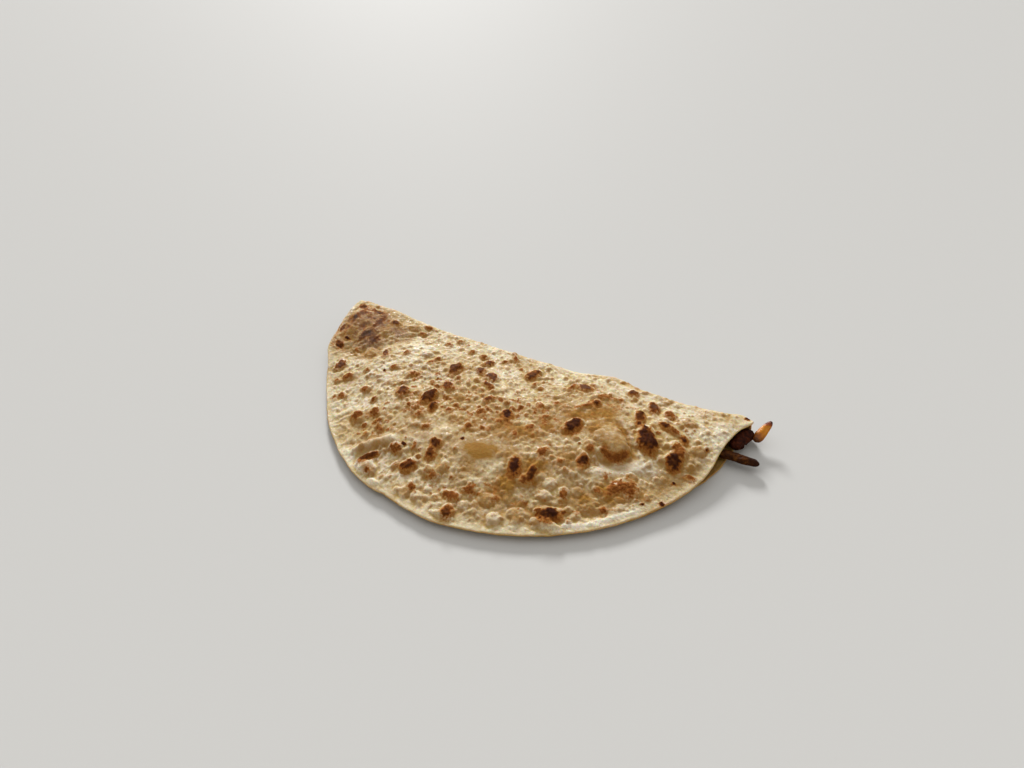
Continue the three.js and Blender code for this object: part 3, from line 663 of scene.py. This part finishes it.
def lay_broad_tones():
    """Golden and floury dough, a painted highlight along the rim, mottled browning, and painted
    shade in the relief's hollows and on its slopes that face away from the light.
    """
    rim_free = ease((MAP_INWARD - 1) / 4)
    patchy = 0.75 + 0.6 * layered_noise(MAP_X / 13, MAP_Y / 9, seed=71, layers=4)
    calm = spread(CALM, MAP_X, MAP_Y)
    golden = spread(GOLDEN, MAP_X, MAP_Y) * np.maximum(patchy, calm)
    MAPS["gold_and_glow"] = clamp01(np.maximum(MAPS["gold_and_glow"], golden)) * rim_free
    # A pale band along the rim: flour, and painted highlight that lightens the shade of its sloping
    # edge.
    paint("flour", EVERYWHERE, 0.3 * bell(MAP_INWARD / 1.5))
    paint("flour", EVERYWHERE, spread(FLOURED, MAP_X, MAP_Y) * clamp01(1.4 * patchy - 0.2))
    mottles = layered_noise(MAP_X / 4.6, MAP_Y / 3.4, seed=107, layers=4)
    toasted = spread(TOASTED, MAP_X, MAP_Y) * 0.5 + 0.06
    paint("brown", EVERYWHERE, toasted * clamp01(mottles * 1.6 - 0.35) * rim_free * (1 - calm))
    # Painted shade: hollows darken, and so do slopes that face away from the light.
    level = softened(MAPS["relief"], LEVEL_REACH)
    MAPS["hollow"] = clamp01(0.5 - (MAPS["relief"] - level) * 1.6)
    slope_d, slope_x = np.gradient(MAPS["relief"], CELL)
    falling = -SHADED[1] * slope_d + SHADED[0] * slope_x
    MAPS["slope_shade"] = clamp01((-softened(falling, SLOPE_REACH) - 0.06) * 1.7) * rim_free


def read_map(name, x, distance):
    """A map's value at places of the unfolded sheet."""
    values = MAPS[name]
    column = np.clip((x - GRID_X[0]) / CELL, 0, len(GRID_X) - 1.001)
    row = np.clip((distance - GRID_D[0]) / CELL, 0, len(GRID_D) - 1.001)
    c, r = column.astype(int), row.astype(int)
    fc, fr = column - c, row - r
    low = lerp(values[r, c], values[r, c + 1], fc)
    high = lerp(values[r + 1, c], values[r + 1, c + 1], fc)
    return lerp(low, high, fr)


# ---- Mesh helpers ----
def place(points):
    """Fold-frame millimetres to metres in the part's frame."""
    return (np.asarray(points) - FRAME_ORIGIN) * 0.001


def deselect_all():
    bpy.ops.object.select_all(action="DESELECT")


def read_floats(mesh, name):
    values = np.empty(len(mesh.vertices), dtype=np.float32)
    mesh.attributes[name].data.foreach_get("value", values)
    return values.astype(float)


def write_floats(mesh, name, values):
    attribute = mesh.attributes.get(name) or mesh.attributes.new(name, "FLOAT", "POINT")
    attribute.data.foreach_set("value", np.asarray(values, dtype=np.float32))


def set_places(mesh, points):
    mesh.vertices.foreach_set("co", np.asarray(points, dtype=np.float32).ravel())
    mesh.update()


def drop_floats(mesh, *names):
    for name in names:
        mesh.attributes.remove(mesh.attributes[name])


def face_outwards():
    """The faces of the object at hand point outwards."""
    bpy.ops.object.mode_set(mode="EDIT")
    bpy.ops.mesh.select_all(action="SELECT")
    bpy.ops.mesh.normals_make_consistent(inside=False)
    bpy.ops.object.mode_set(mode="OBJECT")


def finish_piece(piece, material, node):
    piece.data.materials.append(material)
    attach(piece, "root")
    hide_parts(node)


# ---- The tortilla's mesh ----
def make_tortilla():
    """A flat grid gets a second side and a finer top, and then takes its folded shape."""
    deselect_all()
    rows = 2 * (BEND_ROWS + LAYER_ROWS)
    bpy.ops.mesh.primitive_grid_add(x_subdivisions=COLUMNS, y_subdivisions=rows, size=2)
    tortilla = bpy.context.object
    tortilla.name = "Tortilla"
    mesh = tortilla.data
    flat = np.empty(len(mesh.vertices) * 3)
    mesh.vertices.foreach_get("co", flat)
    flat = flat.reshape(-1, 3)
    write_floats(mesh, "across", flat[:, 0])
    write_floats(mesh, "down", flat[:, 1])
    outer_count = len(mesh.vertices)
    wall = tortilla.modifiers.new("Layer", "SOLIDIFY")
    wall.thickness = STAND_IN_WALL
    wall.offset = -1
    bpy.ops.object.modifier_apply(modifier=wall.name)
    mesh = tortilla.data
    side = np.ones(len(mesh.vertices))
    side[outer_count:] = -1
    write_floats(mesh, "side", side)
    select_top_and_rim(mesh)
    bpy.ops.object.mode_set(mode="EDIT")
    bpy.ops.mesh.select_mode(type="FACE")
    bpy.ops.mesh.subdivide(number_cuts=TOP_CUTS, smoothness=0)
    bpy.ops.object.mode_set(mode="OBJECT")
    shape_tortilla(tortilla.data)
    face_outwards()
    bpy.ops.object.shade_smooth()
    return tortilla


def select_top_and_rim(mesh):
    """The outside of the upper layer and of the bend, and the rim's strip between the two sides."""
    down, side = read_floats(mesh, "down"), read_floats(mesh, "side")
    lowest = -0.75 * BEND_ROWS / (BEND_ROWS + LAYER_ROWS)
    for group in (mesh.vertices, mesh.edges):
        group.foreach_set("select", np.zeros(len(group), dtype=bool))
    for face in mesh.polygons:
        corners = np.array(face.vertices)
        on_top = side[corners].min() > 0 and down[corners].min() > lowest
        on_rim = side[corners].min() < 0 < side[corners].max()
        face.select = bool(on_top or on_rim)


def shape_tortilla(mesh):
    """Every vertex to its place, with the relief and its tones; side is 1 outside and -1 inside."""
    across, down = read_floats(mesh, "across"), read_floats(mesh, "down")
    side = read_floats(mesh, "side")
    p, q = disc_place(across, down)
    x, distance = flat_place(p, q)
    middle = sheet_point(x, distance)
    step = SLOPE_STEP
    along_x = sheet_point(x + step, distance) - sheet_point(x - step, distance)
    along_d = sheet_point(x, distance + step) - sheet_point(x, distance - step)
    outward = unit(np.cross(along_d, along_x))
    away = unit(middle - sheet_point(*flat_place(p * RIM_STEP, q * RIM_STEP)))
    tilt = side * math.pi / 2
    inward = RIM_RADIUS * (1 - np.hypot(p, q))
    half = THICKNESS / 2 * lerp(EDGE_SHARE, 1, ease(inward / EDGE_THINNING))[:, None]
    points = middle + half * (np.sin(tilt)[:, None] * outward + np.cos(tilt)[:, None] * away)
    on_top = clamp01((distance - TOP_FROM) / TOP_FADE) * clamp01(side) ** 2
    points += (on_top * read_map("relief", x, distance))[:, None] * outward
    over = np.maximum(points[:, 2] - (TOP_LIMIT - TOP_ROUNDING), 0)
    points[:, 2] += TOP_ROUNDING * np.tanh(over / TOP_ROUNDING) - over
    set_places(mesh, place(points))
    for name in MAPS:
        write_floats(mesh, name, on_top * read_map(name, x, distance))
    write_floats(mesh, "top", on_top)
    under = clamp01((UNDER_FROM - distance) / UNDER_FADE) * clamp01(side) ** 2
    write_floats(mesh, "under", under)
    # Carries painted shade: 0 on the outside, 1 on the faces inside between the layers, the rim
    # between.
    write_floats(mesh, "inside", (1 - side) / 2)
    drop_floats(mesh, "across", "down", "side")


# ---- The filling's mesh ----
LAYER_GAP = 0.65
FILLING_COLUMNS, FILLING_ROWS, WALL_STEPS = 240, 70, 6
FILLING_INSET, FILLING_INSET_AT_MOUTH = 20.0, 8.0
MOUTH_FROM, MOUTH_BLEND = 0.78, 30.0  # a share of the rim's radius, and a length
FILLING_ENDS = (-122.0, 140.5)
FILLING_BACK_GAP, FILLING_LEAST_DEPTH, FILLING_LEAST_ROOM = 1.2, 8.0, 0.5
FILLING_LUMP = 0.7
TORN_BY, ROUNDED_BY = 1.2, 1.6  # how far the side walls are drawn in
CEILING_STEPS = (-4, 0, 4)
CREASE_ANGLE = math.radians(50)


def ceiling_over(x, y):
    """The lowest place of the upper layer's underside over a patch of the filling."""
    heights = [upper_height(x + dx, y + dy) for dx in CEILING_STEPS for dy in CEILING_STEPS]
    return np.min(heights, axis=0) - THICKNESS / 2 - LAYER_GAP


def make_filling():
    """A grid raised in steps to fill the room between the layers, lumpy on top and torn around."""
    deselect_all()
    bpy.ops.mesh.primitive_grid_add(
        x_subdivisions=FILLING_COLUMNS, y_subdivisions=FILLING_ROWS, size=2
    )
    filling = bpy.context.object
    filling.name = "Filling"
    flat = np.array([v.co[:2] for v in filling.data.vertices])
    write_floats(filling.data, "across", flat[:, 0])
    write_floats(filling.data, "down", flat[:, 1])
    bpy.ops.object.mode_set(mode="EDIT")
    bpy.ops.mesh.select_all(action="SELECT")
    lift = {"value": (0, 0, 1 / WALL_STEPS)}
    for _ in range(WALL_STEPS):
        bpy.ops.mesh.extrude_region_move(TRANSFORM_OT_translate=lift)
    bpy.ops.object.mode_set(mode="OBJECT")
    mesh = filling.data
    level = np.array([v.co.z for v in mesh.vertices])
    across, down = read_floats(mesh, "across"), read_floats(mesh, "down")
    x = lerp(*FILLING_ENDS, (across + 1) / 2)
    mouth = ease((x - RIM_CENTRE_X - RIM_RADIUS * MOUTH_FROM) / MOUTH_BLEND)
    reach = RIM_RADIUS - lerp(FILLING_INSET, FILLING_INSET_AT_MOUTH, mouth)
    front = -np.sqrt(np.maximum(0, reach**2 - (x - RIM_CENTRE_X) ** 2))
    flattened = FLAT_DEPTH * bell((np.arctan2(-front, x - RIM_CENTRE_X) - FLAT_ANGLE) / FLAT_WIDTH)
    back = bend_line(x) - FILLING_BACK_GAP
    y = lerp(back, np.minimum(front + flattened, back - FILLING_LEAST_DEPTH), (down + 1) / 2)
    floor = THICKNESS + LAYER_GAP
    room = np.maximum(FILLING_LEAST_ROOM, ceiling_over(x, y) - floor - FILLING_LUMP)
    lumps = 0.5 + 0.35 * layered_noise(x / 5, y / 4, seed=131)
    shreds = 0.35 * np.abs(layered_noise((x + y) / 7, (x - y) / 1.6, seed=137, layers=2))
    lump = FILLING_LUMP * clamp01(lumps - shreds) * clamp01(room / 3)
    z = floor + level * (room + lump)
    ragged_u, ragged_v = (x + y) / 2.2 + 5 * level, (x - y) / 2.2 - 3 * level
    torn = 0.5 + 0.5 * layered_noise(ragged_u, ragged_v, seed=139, layers=2)
    pulled = 1 - (TORN_BY * torn + ROUNDED_BY * np.abs(2 * level - 1) ** 2) / RIM_RADIUS
    x, y = RIM_CENTRE_X + (x - RIM_CENTRE_X) * pulled, back + (y - back) * pulled
    set_places(mesh, place(np.stack((x, y, z), axis=-1)))
    drop_floats(mesh, "across", "down")
    face_outwards()
    bpy.ops.object.shade_smooth_by_angle(angle=CREASE_ANGLE)
    return filling


# ---- Strips of the filling that hang out of the right-hand tip ----
# Centre line, half width and half height at the start, and the share left at the far end.
UPPER_MEAT = (
    ((150.0, -22.8, 6.0), (151.9, -17, 6.4), (154.0, -11, 6.8), (155.8, -5.4, 7.3)),
    4.5, 3.2, 1,
)
LOWER_MEAT = (
    (
        (141.6, -29.4, 5.3), (147.2, -28.9, 5.5), (153, -28.8, 5.5), (159.5, -28.2, 5.2),
        (166, -27.6, 4.8),
    ),
    3.3, 2.6, 0.9,
)
PEPPER = (
    ((159.9, -11.4, 5.6), (161.3, -7, 7.0), (163.2, -2, 9.4), (165, 2.6, 11.8)),
    3.3, 2.2, 0.5,
)
ONION = (
    ((149, -24.6, 3.9), (151.6, -24.8, 3.8), (154.2, -24.6, 3.4)),
    0.9, 1.3, 0.8,
)
STRIP_SEGMENTS, STRIP_RINGS = 48, 64
STRIP_STEP = 0.01  # share of the length over which the heading is taken
END_BLUNTNESS = 5


def along_line(points, share):
    """Places on the smooth line through the points, by share of its length."""
    points = np.array(points, dtype=float)
    chords = np.linalg.norm(np.diff(points, axis=0), axis=1)
    marks = np.concatenate(([0], np.cumsum(chords))) / chords.sum()
    fits = [np.polyfit(marks, coordinate, len(marks) - 1) for coordinate in points.T]
    return np.stack([np.polyval(fit, share) for fit in fits], axis=-1)


def make_strip(name, line, half_width, half_height, tip, relief):
    """A round-ended strip; relief gives its unevenness from share of length and angle round it."""
    deselect_all()
    bpy.ops.mesh.primitive_uv_sphere_add(segments=STRIP_SEGMENTS, ring_count=STRIP_RINGS, radius=1)
    strip = bpy.context.object
    strip.name = name
    mesh = strip.data
    sphere = np.array([v.co for v in mesh.vertices])
    share = np.arccos(np.clip(sphere[:, 2], -1, 1)) / math.pi
    angle = np.arctan2(sphere[:, 1], sphere[:, 0])
    centre = along_line(line, share)
    heading = unit(along_line(line, share + STRIP_STEP) - along_line(line, share - STRIP_STEP))
    across = unit(np.cross(heading, (0, 0, 1)))
    rise = unit(np.cross(across, heading))
    full = np.sqrt(1 - np.abs(2 * share - 1) ** END_BLUNTNESS) * lerp(1, tip, share**2)
    full = full * (1 + relief(share, angle))
    sideways = across * (half_width * full * np.cos(angle))[:, None]
    upwards = rise * (half_height * full * np.sin(angle))[:, None]
    set_places(mesh, place(centre + sideways + upwards))
    write_floats(mesh, "share", share)
    write_floats(mesh, "turn", angle)
    face_outwards()
    bpy.ops.object.shade_smooth()
    return strip


def meat_relief(seed):
    """Long fibres with shallow clefts between them, blunt corners and a lumpy outline."""

    def relief(share, angle):
        twist = angle + 0.5 * np.sin(5 * share + seed)
        round_u, round_v = 2.2 * np.cos(twist), 2.2 * np.sin(twist)
        fibres = lattice_noise(round_u * 2.4 + 1.5 * share, round_v * 2.4 + 9, seed)
        lumps = lattice_noise(round_u + 5 * share, round_v - 4 * share, seed + 1)
        sides = np.abs(np.sin(1.5 * twist + 2 * lumps))
        return -0.10 * np.abs(fibres) - 0.10 * (lumps + 0.4) - 0.12 * (1 - sides)

    return relief


def pepper_relief(share, angle):
    """A groove along the hollow side, and ripples of the skin."""
    groove = 0.24 * bell((angle - 1.1) / 0.5) * np.sin(math.pi * share)
    ripples = 0.06 * lattice_noise(share * 9, angle * 1.3, seed=151) - 0.03
    return ripples - groove


def onion_relief(share, angle):
    return -0.12 + 0.10 * lattice_noise(share * 5, np.cos(angle) * 2, seed=163)


# ---- Materials ----
def new_material(name):
    material = bpy.data.materials.new(name)
    material.use_nodes = True
    tree = material.node_tree
    return material, Wiring(tree), tree.nodes["Principled BSDF"]


def set_sockets(node, values):
    for name, value in values.items():
        node.inputs[name].default_value = value


def let_light_in(shader, share, reach, colour_reach):
    """Light goes under the surface: how much of it, how far in metres, and each colour's share."""
    set_sockets(shader, {"Subsurface Weight": share, "Subsurface Scale": reach})
    shader.inputs["Subsurface Radius"].default_value = colour_reach


class Wiring:
    """Short words for the nodes of one material."""

    def __init__(self, tree):
        self.nodes, self.links = tree.nodes, tree.links
        self.place = self.nodes.new("ShaderNodeTexCoord").outputs["Object"]

    def put(self, socket, value):
        """A number or a colour is set, and anything else is linked."""
        if isinstance(value, tuple):
            socket.default_value = (*value, 1)
        elif isinstance(value, (int, float)):
            socket.default_value = value
        else:
            self.links.new(value, socket)

    def attribute(self, name):
        node = self.nodes.new("ShaderNodeAttribute")
        node.attribute_name = name
        return node.outputs["Fac"]

    def noise(self, scale, detail=4.0, roughness=0.55, distortion=0.0):
        node = self.nodes.new("ShaderNodeTexNoise")
        set_sockets(node, {"Scale": scale, "Detail": detail})
        set_sockets(node, {"Roughness": roughness, "Distortion": distortion})
        self.links.new(self.place, node.inputs["Vector"])
        return node.outputs["Fac"]

    def cells(self, scale):
        node = self.nodes.new("ShaderNodeTexVoronoi")
        node.inputs["Scale"].default_value = scale
        self.links.new(self.place, node.inputs["Vector"])
        return node.outputs["Distance"]

    def math(self, operation, a, b=0.0, clamp=False):
        node = self.nodes.new("ShaderNodeMath")
        node.operation = operation
        node.use_clamp = clamp
        self.put(node.inputs[0], a)
        self.put(node.inputs[1], b)
        return node.outputs[0]

    def add(self, a, b):
        return self.math("ADD", a, b)

    def times(self, a, b, clamp=False):
        return self.math("MULTIPLY", a, b, clamp)

    def stretch(self, value, low, high, to_low=0.0, to_high=1.0):
        node = self.nodes.new("ShaderNodeMapRange")
        self.put(node.inputs["Value"], value)
        set_sockets(node, {"From Min": low, "From Max": high, "To Min": to_low, "To Max": to_high})
        return node.outputs["Result"]

    def swing(self, noise, to_low, to_high):
        """A noise, most of which lies between 0.3 and 0.7, brought between two values."""
        return self.stretch(noise, 0.3, 0.7, to_low, to_high)

    def ramp(self, value, stops):
        node = self.nodes.new("ShaderNodeValToRGB")
        elements = node.color_ramp.elements
        while len(elements) < len(stops):
            elements.new(0.5)
        for element, (position, colour) in zip(elements, stops):
            element.position = position
            element.color = (*colour, 1)
        self.put(node.inputs["Fac"], value)
        return node.outputs["Color"]

    def mix(self, share, first, second, blend="MIX"):
        node = self.nodes.new("ShaderNodeMix")
        node.data_type = "RGBA"
        node.blend_type = blend
        self.put(node.inputs["Factor"], share)
        sockets = [s for s in node.inputs if s.type == "RGBA"]
        for socket, value in zip(sockets, (first, second)):
            self.put(socket, value)
        return [s for s in node.outputs if s.type == "RGBA"][0]

    def tint(self, share, colour, by):
        return self.mix(share, colour, by, "MULTIPLY")

    def bump(self, shader, height, distance):
        node = self.nodes.new("ShaderNodeBump")
        set_sockets(node, {"Strength": 1.0, "Distance": distance})
        self.links.new(height, node.inputs["Height"])
        self.links.new(node.outputs["Normal"], shader.inputs["Normal"])


CREAM = (0.52, 0.39, 0.20)
PALE_DOUGH = (0.71, 0.62, 0.42)
SPECKLED_DOUGH = (0.36, 0.235, 0.09)
FLOUR_AND_HIGHLIGHT = (0.86, 0.82, 0.67)
GOLD_AND_GLOW = (0.30, 0.152, 0.026)
SLOPE_SHADE_COLOUR = (0.38, 0.19, 0.05)
HOLLOW_SHADE = (0.75, 0.59, 0.32)
RIM_SHADE, INSIDE_SHADE = (0.92, 0.69, 0.36), (0.42, 0.29, 0.11)
BROWNING = (
    (0.00, (0.42, 0.21, 0.05)),
    (0.22, (0.34, 0.13, 0.024)),
    (0.48, (0.18, 0.056, 0.011)),
    (0.75, (0.088, 0.026, 0.006)),
    (1.00, (0.042, 0.012, 0.006)),
)
ASH_GREY = (0.17, 0.125, 0.10)


def underside_browning(w):
    """Scorched spots of many sizes over the side that lay on the griddle last."""
    warped = w.add(w.cells(62), w.swing(w.noise(190, 4), -0.10, 0.10))
    size = w.stretch(w.noise(48, 2), 0.35, 0.65, 0.14, 0.44)
    spots = w.stretch(w.math("SUBTRACT", size, warped), -0.12, 0.20, 0.0, 0.95)
    mottled = w.stretch(w.noise(95, 5, 0.65), 0.42, 0.75, 0.0, 0.4)
    return w.times(w.math("MAXIMUM", spots, mottled), w.attribute("under"))


def tortilla_material():
    material, w, shader = new_material("Browned flour tortilla")
    fine, medium, broad = w.noise(900, 3), w.noise(260, 4), w.noise(45, 3)

    # Dough, flour and gold; the flour also holds painted highlights and the gold a painted glow, on
    # the blisters' lit and shaded sides.
    dough = w.mix(w.stretch(broad, 0.38, 0.62), CREAM, PALE_DOUGH)
    gold_and_glow = w.add(w.attribute("gold_and_glow"), w.swing(medium, -0.15, 0.15))
    flour = w.add(w.attribute("flour"), w.swing(medium, -0.25, 0.15))
    dough = w.mix(w.stretch(flour, 0.0, 1.0), dough, FLOUR_AND_HIGHLIGHT)
    dough = w.mix(w.stretch(fine, 0.32, 0.68, 0.0, 0.25), dough, SPECKLED_DOUGH)
    colour = w.mix(w.stretch(gold_and_glow, 0.05, 0.9), dough, GOLD_AND_GLOW)

    # Painted shade: darker in the hollows and on the slopes that face away from the light.
    hollow = w.times(w.stretch(w.attribute("hollow"), 0.45, 1.0), w.attribute("top"))
    colour = w.tint(w.times(hollow, 0.9), colour, HOLLOW_SHADE)
    slope_shade = w.times(w.attribute("slope_shade"), w.swing(medium, 0.45, 1.1))
    colour = w.mix(slope_shade, colour, SLOPE_SHADE_COLOUR)

    # Browning, and ash on top of it.
    brown = w.times(w.attribute("brown"), w.swing(medium, 0.8, 1.2))
    brown = w.add(brown, w.swing(fine, -0.13, 0.13))
    brown = w.add(brown, underside_browning(w))
    colour = w.mix(w.stretch(brown, 0.06, 0.32), colour, w.ramp(brown, BROWNING))
    ash = w.add(w.attribute("ash"), w.swing(medium, -0.2, 0.2))
    colour = w.mix(w.stretch(ash, 0.2, 0.9, 0.0, 0.75), colour, ASH_GREY)

    # Painted shade on the rim's side and, darker, on the faces inside between the layers.
    rim_and_inside_shades = ((0.0, (1.0, 1.0, 1.0)), (0.5, RIM_SHADE), (1.0, INSIDE_SHADE))
    colour = w.tint(1.0, colour, w.ramp(w.attribute("inside"), rim_and_inside_shades))
    w.links.new(colour, shader.inputs["Base Color"])

    # Small oily glints, none of them on gold or brown.
    oily = w.times(w.stretch(w.noise(520, 2), 0.58, 0.68), w.stretch(gold_and_glow, 0.75, 0.95, 1.0, 0.0))
    oily = w.times(oily, w.stretch(brown, 0.1, 0.4, 1.0, 0.0))
    w.links.new(w.stretch(oily, 0.0, 1.0, 0.66, 0.3), shader.inputs["Roughness"])
    sheen = w.times(w.stretch(oily, 0.0, 1.0, 0.06, 0.5), w.stretch(brown, 0.1, 0.5, 1.0, 0.2))
    w.links.new(sheen, shader.inputs["Specular IOR Level"])
    let_light_in(shader, 0.35, 0.003, (1.0, 0.36, 0.09))
    w.bump(shader, w.add(w.noise(650, 3), w.times(w.noise(1800, 2), 0.4)), 0.0004)
    return material


SHREDS = ((0.3, (0.030, 0.009, 0.004)), (0.55, (0.10, 0.035, 0.014)), (0.8, (0.24, 0.10, 0.04)))
CHEESE = ((0.3, (0.36, 0.18, 0.03)), (0.7, (0.58, 0.36, 0.09)))


def filling_material():
    """Shredded brown meat bound by melted cheese."""
    material, w, shader = new_material("Meat and melted cheese filling")
    patches, fine = w.noise(190, 4, 0.6, 0.3), w.noise(700, 3)
    meat, cheese = w.ramp(fine, SHREDS), w.ramp(fine, CHEESE)
    colour = w.mix(w.stretch(patches, 0.5, 0.68), meat, cheese)
    w.links.new(colour, shader.inputs["Base Color"])
    shader.inputs["Roughness"].default_value = 0.36
    let_light_in(shader, 0.2, 0.002, (1.0, 0.4, 0.15))
    w.bump(shader, w.add(patches, w.times(fine, 0.4)), 0.0008)
    return material


RED_MEAT = (0.012, 0.002, 0.001), (0.040, 0.007, 0.002), (0.12, 0.026, 0.006)
BROWN_MEAT = (0.016, 0.004, 0.001), (0.052, 0.014, 0.002), (0.14, 0.048, 0.006)
MEAT_SCORCH = (0.020, 0.006, 0.004)


def meat_material(name, dark, middle, light):
    """Fibrous grilled meat, scorched at the far end."""
    material, w, shader = new_material(name)
    blotches, fibres = w.noise(330, 4, 0.6), w.noise(1100, 3, 0.6, 0.8)
    tone = w.add(w.times(blotches, 0.65), w.times(fibres, 0.35))
    colour = w.ramp(tone, ((0.38, dark), (0.52, middle), (0.68, light)))
    scorched = w.stretch(w.attribute("share"), 0.72, 0.98)
    colour = w.mix(w.times(scorched, 0.75), colour, MEAT_SCORCH)
    w.links.new(colour, shader.inputs["Base Color"])
    w.links.new(w.swing(fibres, 0.35, 0.65), shader.inputs["Roughness"])
    shader.inputs["Specular IOR Level"].default_value = 0.06
    w.bump(shader, tone, 0.0009)
    return material


PEPPER_STOPS = (
    (0.05, (0.10, 0.030, 0.006)),
    (0.22, (0.34, 0.10, 0.006)),
    (0.42, (0.58, 0.21, 0.008)),
    (0.66, (0.60, 0.22, 0.010)),
    (0.80, (0.30, 0.06, 0.010)),
    (0.93, (0.030, 0.008, 0.008)),
)
PEPPER_UNDERSIDE_SHADE = (0.060, 0.018, 0.004)


def pepper_material():
    """Orange roasted pepper: brown at the inner end, charred at its tip, and darkened below by
    painted shade.
    """
    material, w, shader = new_material("Roasted pepper")
    blotches, fine = w.noise(300, 4, 0.6), w.noise(1300, 2)
    along = w.add(w.attribute("share"), w.swing(blotches, -0.10, 0.10))
    # Painted shade: the lower side of the strip turns dark brown.
    upward = w.math("SINE", w.attribute("turn"))
    shade = w.add(w.stretch(upward, -0.9, 0.1, 1.0, 0.0), w.swing(fine, -0.15, 0.15))
    colour = w.ramp(along, PEPPER_STOPS)
    colour = w.mix(w.times(shade, 0.8, clamp=True), colour, PEPPER_UNDERSIDE_SHADE)
    w.links.new(colour, shader.inputs["Base Color"])
    set_sockets(shader, {"Roughness": 0.27, "Specular IOR Level": 0.2})
    let_light_in(shader, 0.25, 0.0015, (1.0, 0.35, 0.05))
    w.bump(shader, w.add(blotches, w.times(fine, 0.3)), 0.0006)
    return material


ONION_STOPS = ((0.35, (0.30, 0.30, 0.17)), (0.55, (0.62, 0.58, 0.38)), (0.75, (0.80, 0.76, 0.55)))


def onion_material():
    material, w, shader = new_material("Cooked onion")
    tone = w.noise(500, 3)
    w.links.new(w.ramp(tone, ONION_STOPS), shader.inputs["Base Color"])
    shader.inputs["Roughness"].default_value = 0.25
    let_light_in(shader, 0.5, 0.0012, (1.0, 0.8, 0.4))
    w.bump(shader, tone, 0.0004)
    return material


# ---- The pieces ----
lay_spots()
lay_small_blisters()
for line in LINES:
    lay_line(*line)
lay_ridges()
lay_broad_tones()
finish_piece(make_tortilla(), tortilla_material(), "tortilla")
finish_piece(make_filling(), filling_material(), "filling")

red_meat = meat_material("Dark grilled meat", *RED_MEAT)
upper_meat = make_strip("Upper_meat_strip", *UPPER_MEAT, meat_relief(seed=3))
finish_piece(upper_meat, red_meat, "meat_strip_upper")

brown_meat = meat_material("Brown grilled meat", *BROWN_MEAT)
lower_meat = make_strip("Lower_meat_strip", *LOWER_MEAT, meat_relief(seed=7))
finish_piece(lower_meat, brown_meat, "meat_strip_lower")

pepper = make_strip("Pepper_strip", *PEPPER, pepper_relief)
finish_piece(pepper, pepper_material(), "pepper_strip")

onion = make_strip("Onion_sliver", *ONION, onion_relief)
finish_piece(onion, onion_material(), "onion_sliver")


# ---- Floor, light and camera ----
FLOOR_SIZE, FLOOR_HEIGHT = 6, -0.0002  # metres; just clear of the underside
FLOOR_COLOUR = (0.55, 0.55, 0.54, 1)
SURROUND_COLOUR, SURROUND_STRENGTH = (1.0, 0.95, 0.87, 1), 0.38
# Lights by name: heading, height and spread in degrees, strength, colour.
LIGHTS = (
    ("Window light", (-0.60, 0.80), 25, 12, 3.5, (0.99, 0.985, 0.98)),
    ("Sky light", (-0.60, 0.80), 70, 80, 0.88, (0.97, 0.98, 1.0)),
    ("Front fill", (0.55, -0.85), 55, 60, 0.2, (1.0, 0.97, 0.93)),
)
CAMERA_PLACE = (163.7, -287.95, 252.0)
CAMERA_HEADING = (-0.5066, 0.8619)
CAMERA_PITCH = math.radians(39.44)
CAMERA_ROLL = math.radians(2.02)
CAMERA_LENS, CAMERA_SENSOR, CAMERA_NEAR = 21.16, 36, 0.01


def make_floor():
    deselect_all()
    bpy.ops.mesh.primitive_plane_add(size=FLOOR_SIZE, location=(0, 0, FLOOR_HEIGHT))
    floor = bpy.context.object
    floor.name = "Floor"
    material, _, shader = new_material("Plain pale floor")
    values = {"Base Color": FLOOR_COLOUR, "Roughness": 0.8, "Specular IOR Level": 0.1}
    set_sockets(shader, values)
    floor.data.materials.append(material)


def add_sun(name, heading, height_degrees, spread_degrees, strength, colour):
    """A soft far light that comes from that heading and height."""
    data = bpy.data.lights.new(name, "SUN")
    data.angle = math.radians(spread_degrees)
    data.energy = strength
    data.color = colour
    light = bpy.data.objects.new(name, data)
    bpy.context.scene.collection.objects.link(light)
    rise = math.radians(height_degrees)
    level = Vector((*heading, 0)).normalized() * math.cos(rise)
    towards = Vector((level.x, level.y, math.sin(rise)))
    light.rotation_euler = towards.to_track_quat("Z", "Y").to_euler()


def make_world():
    world = bpy.data.worlds.new("Soft surround")
    bpy.context.scene.world = world
    world.use_nodes = True
    background = world.node_tree.nodes["Background"]
    set_sockets(background, {"Color": SURROUND_COLOUR, "Strength": SURROUND_STRENGTH})


def make_camera():
    data = bpy.data.cameras.new("Camera")
    data.lens = CAMERA_LENS
    data.sensor_width = CAMERA_SENSOR
    data.clip_start = CAMERA_NEAR
    camera = bpy.data.objects.new("Camera", data)
    bpy.context.scene.collection.objects.link(camera)
    level, drop = math.cos(CAMERA_PITCH), math.sin(CAMERA_PITCH)
    forward = Vector((CAMERA_HEADING[0] * level, CAMERA_HEADING[1] * level, -drop)).normalized()
    right = forward.cross(Vector((0, 0, 1))).normalized()
    up = right.cross(forward)
    rolled_right = right * math.cos(CAMERA_ROLL) - up * math.sin(CAMERA_ROLL)
    rolled_up = rolled_right.cross(forward)
    axes = Matrix((rolled_right, rolled_up, -forward)).transposed()
    camera.matrix_world = Matrix.Translation(place(CAMERA_PLACE)) @ axes.to_4x4()
    bpy.context.scene.camera = camera


make_floor()
make_world()
for light in LIGHTS:
    add_sun(*light)
bpy.context.scene.view_settings.view_transform = "Standard"
make_camera()
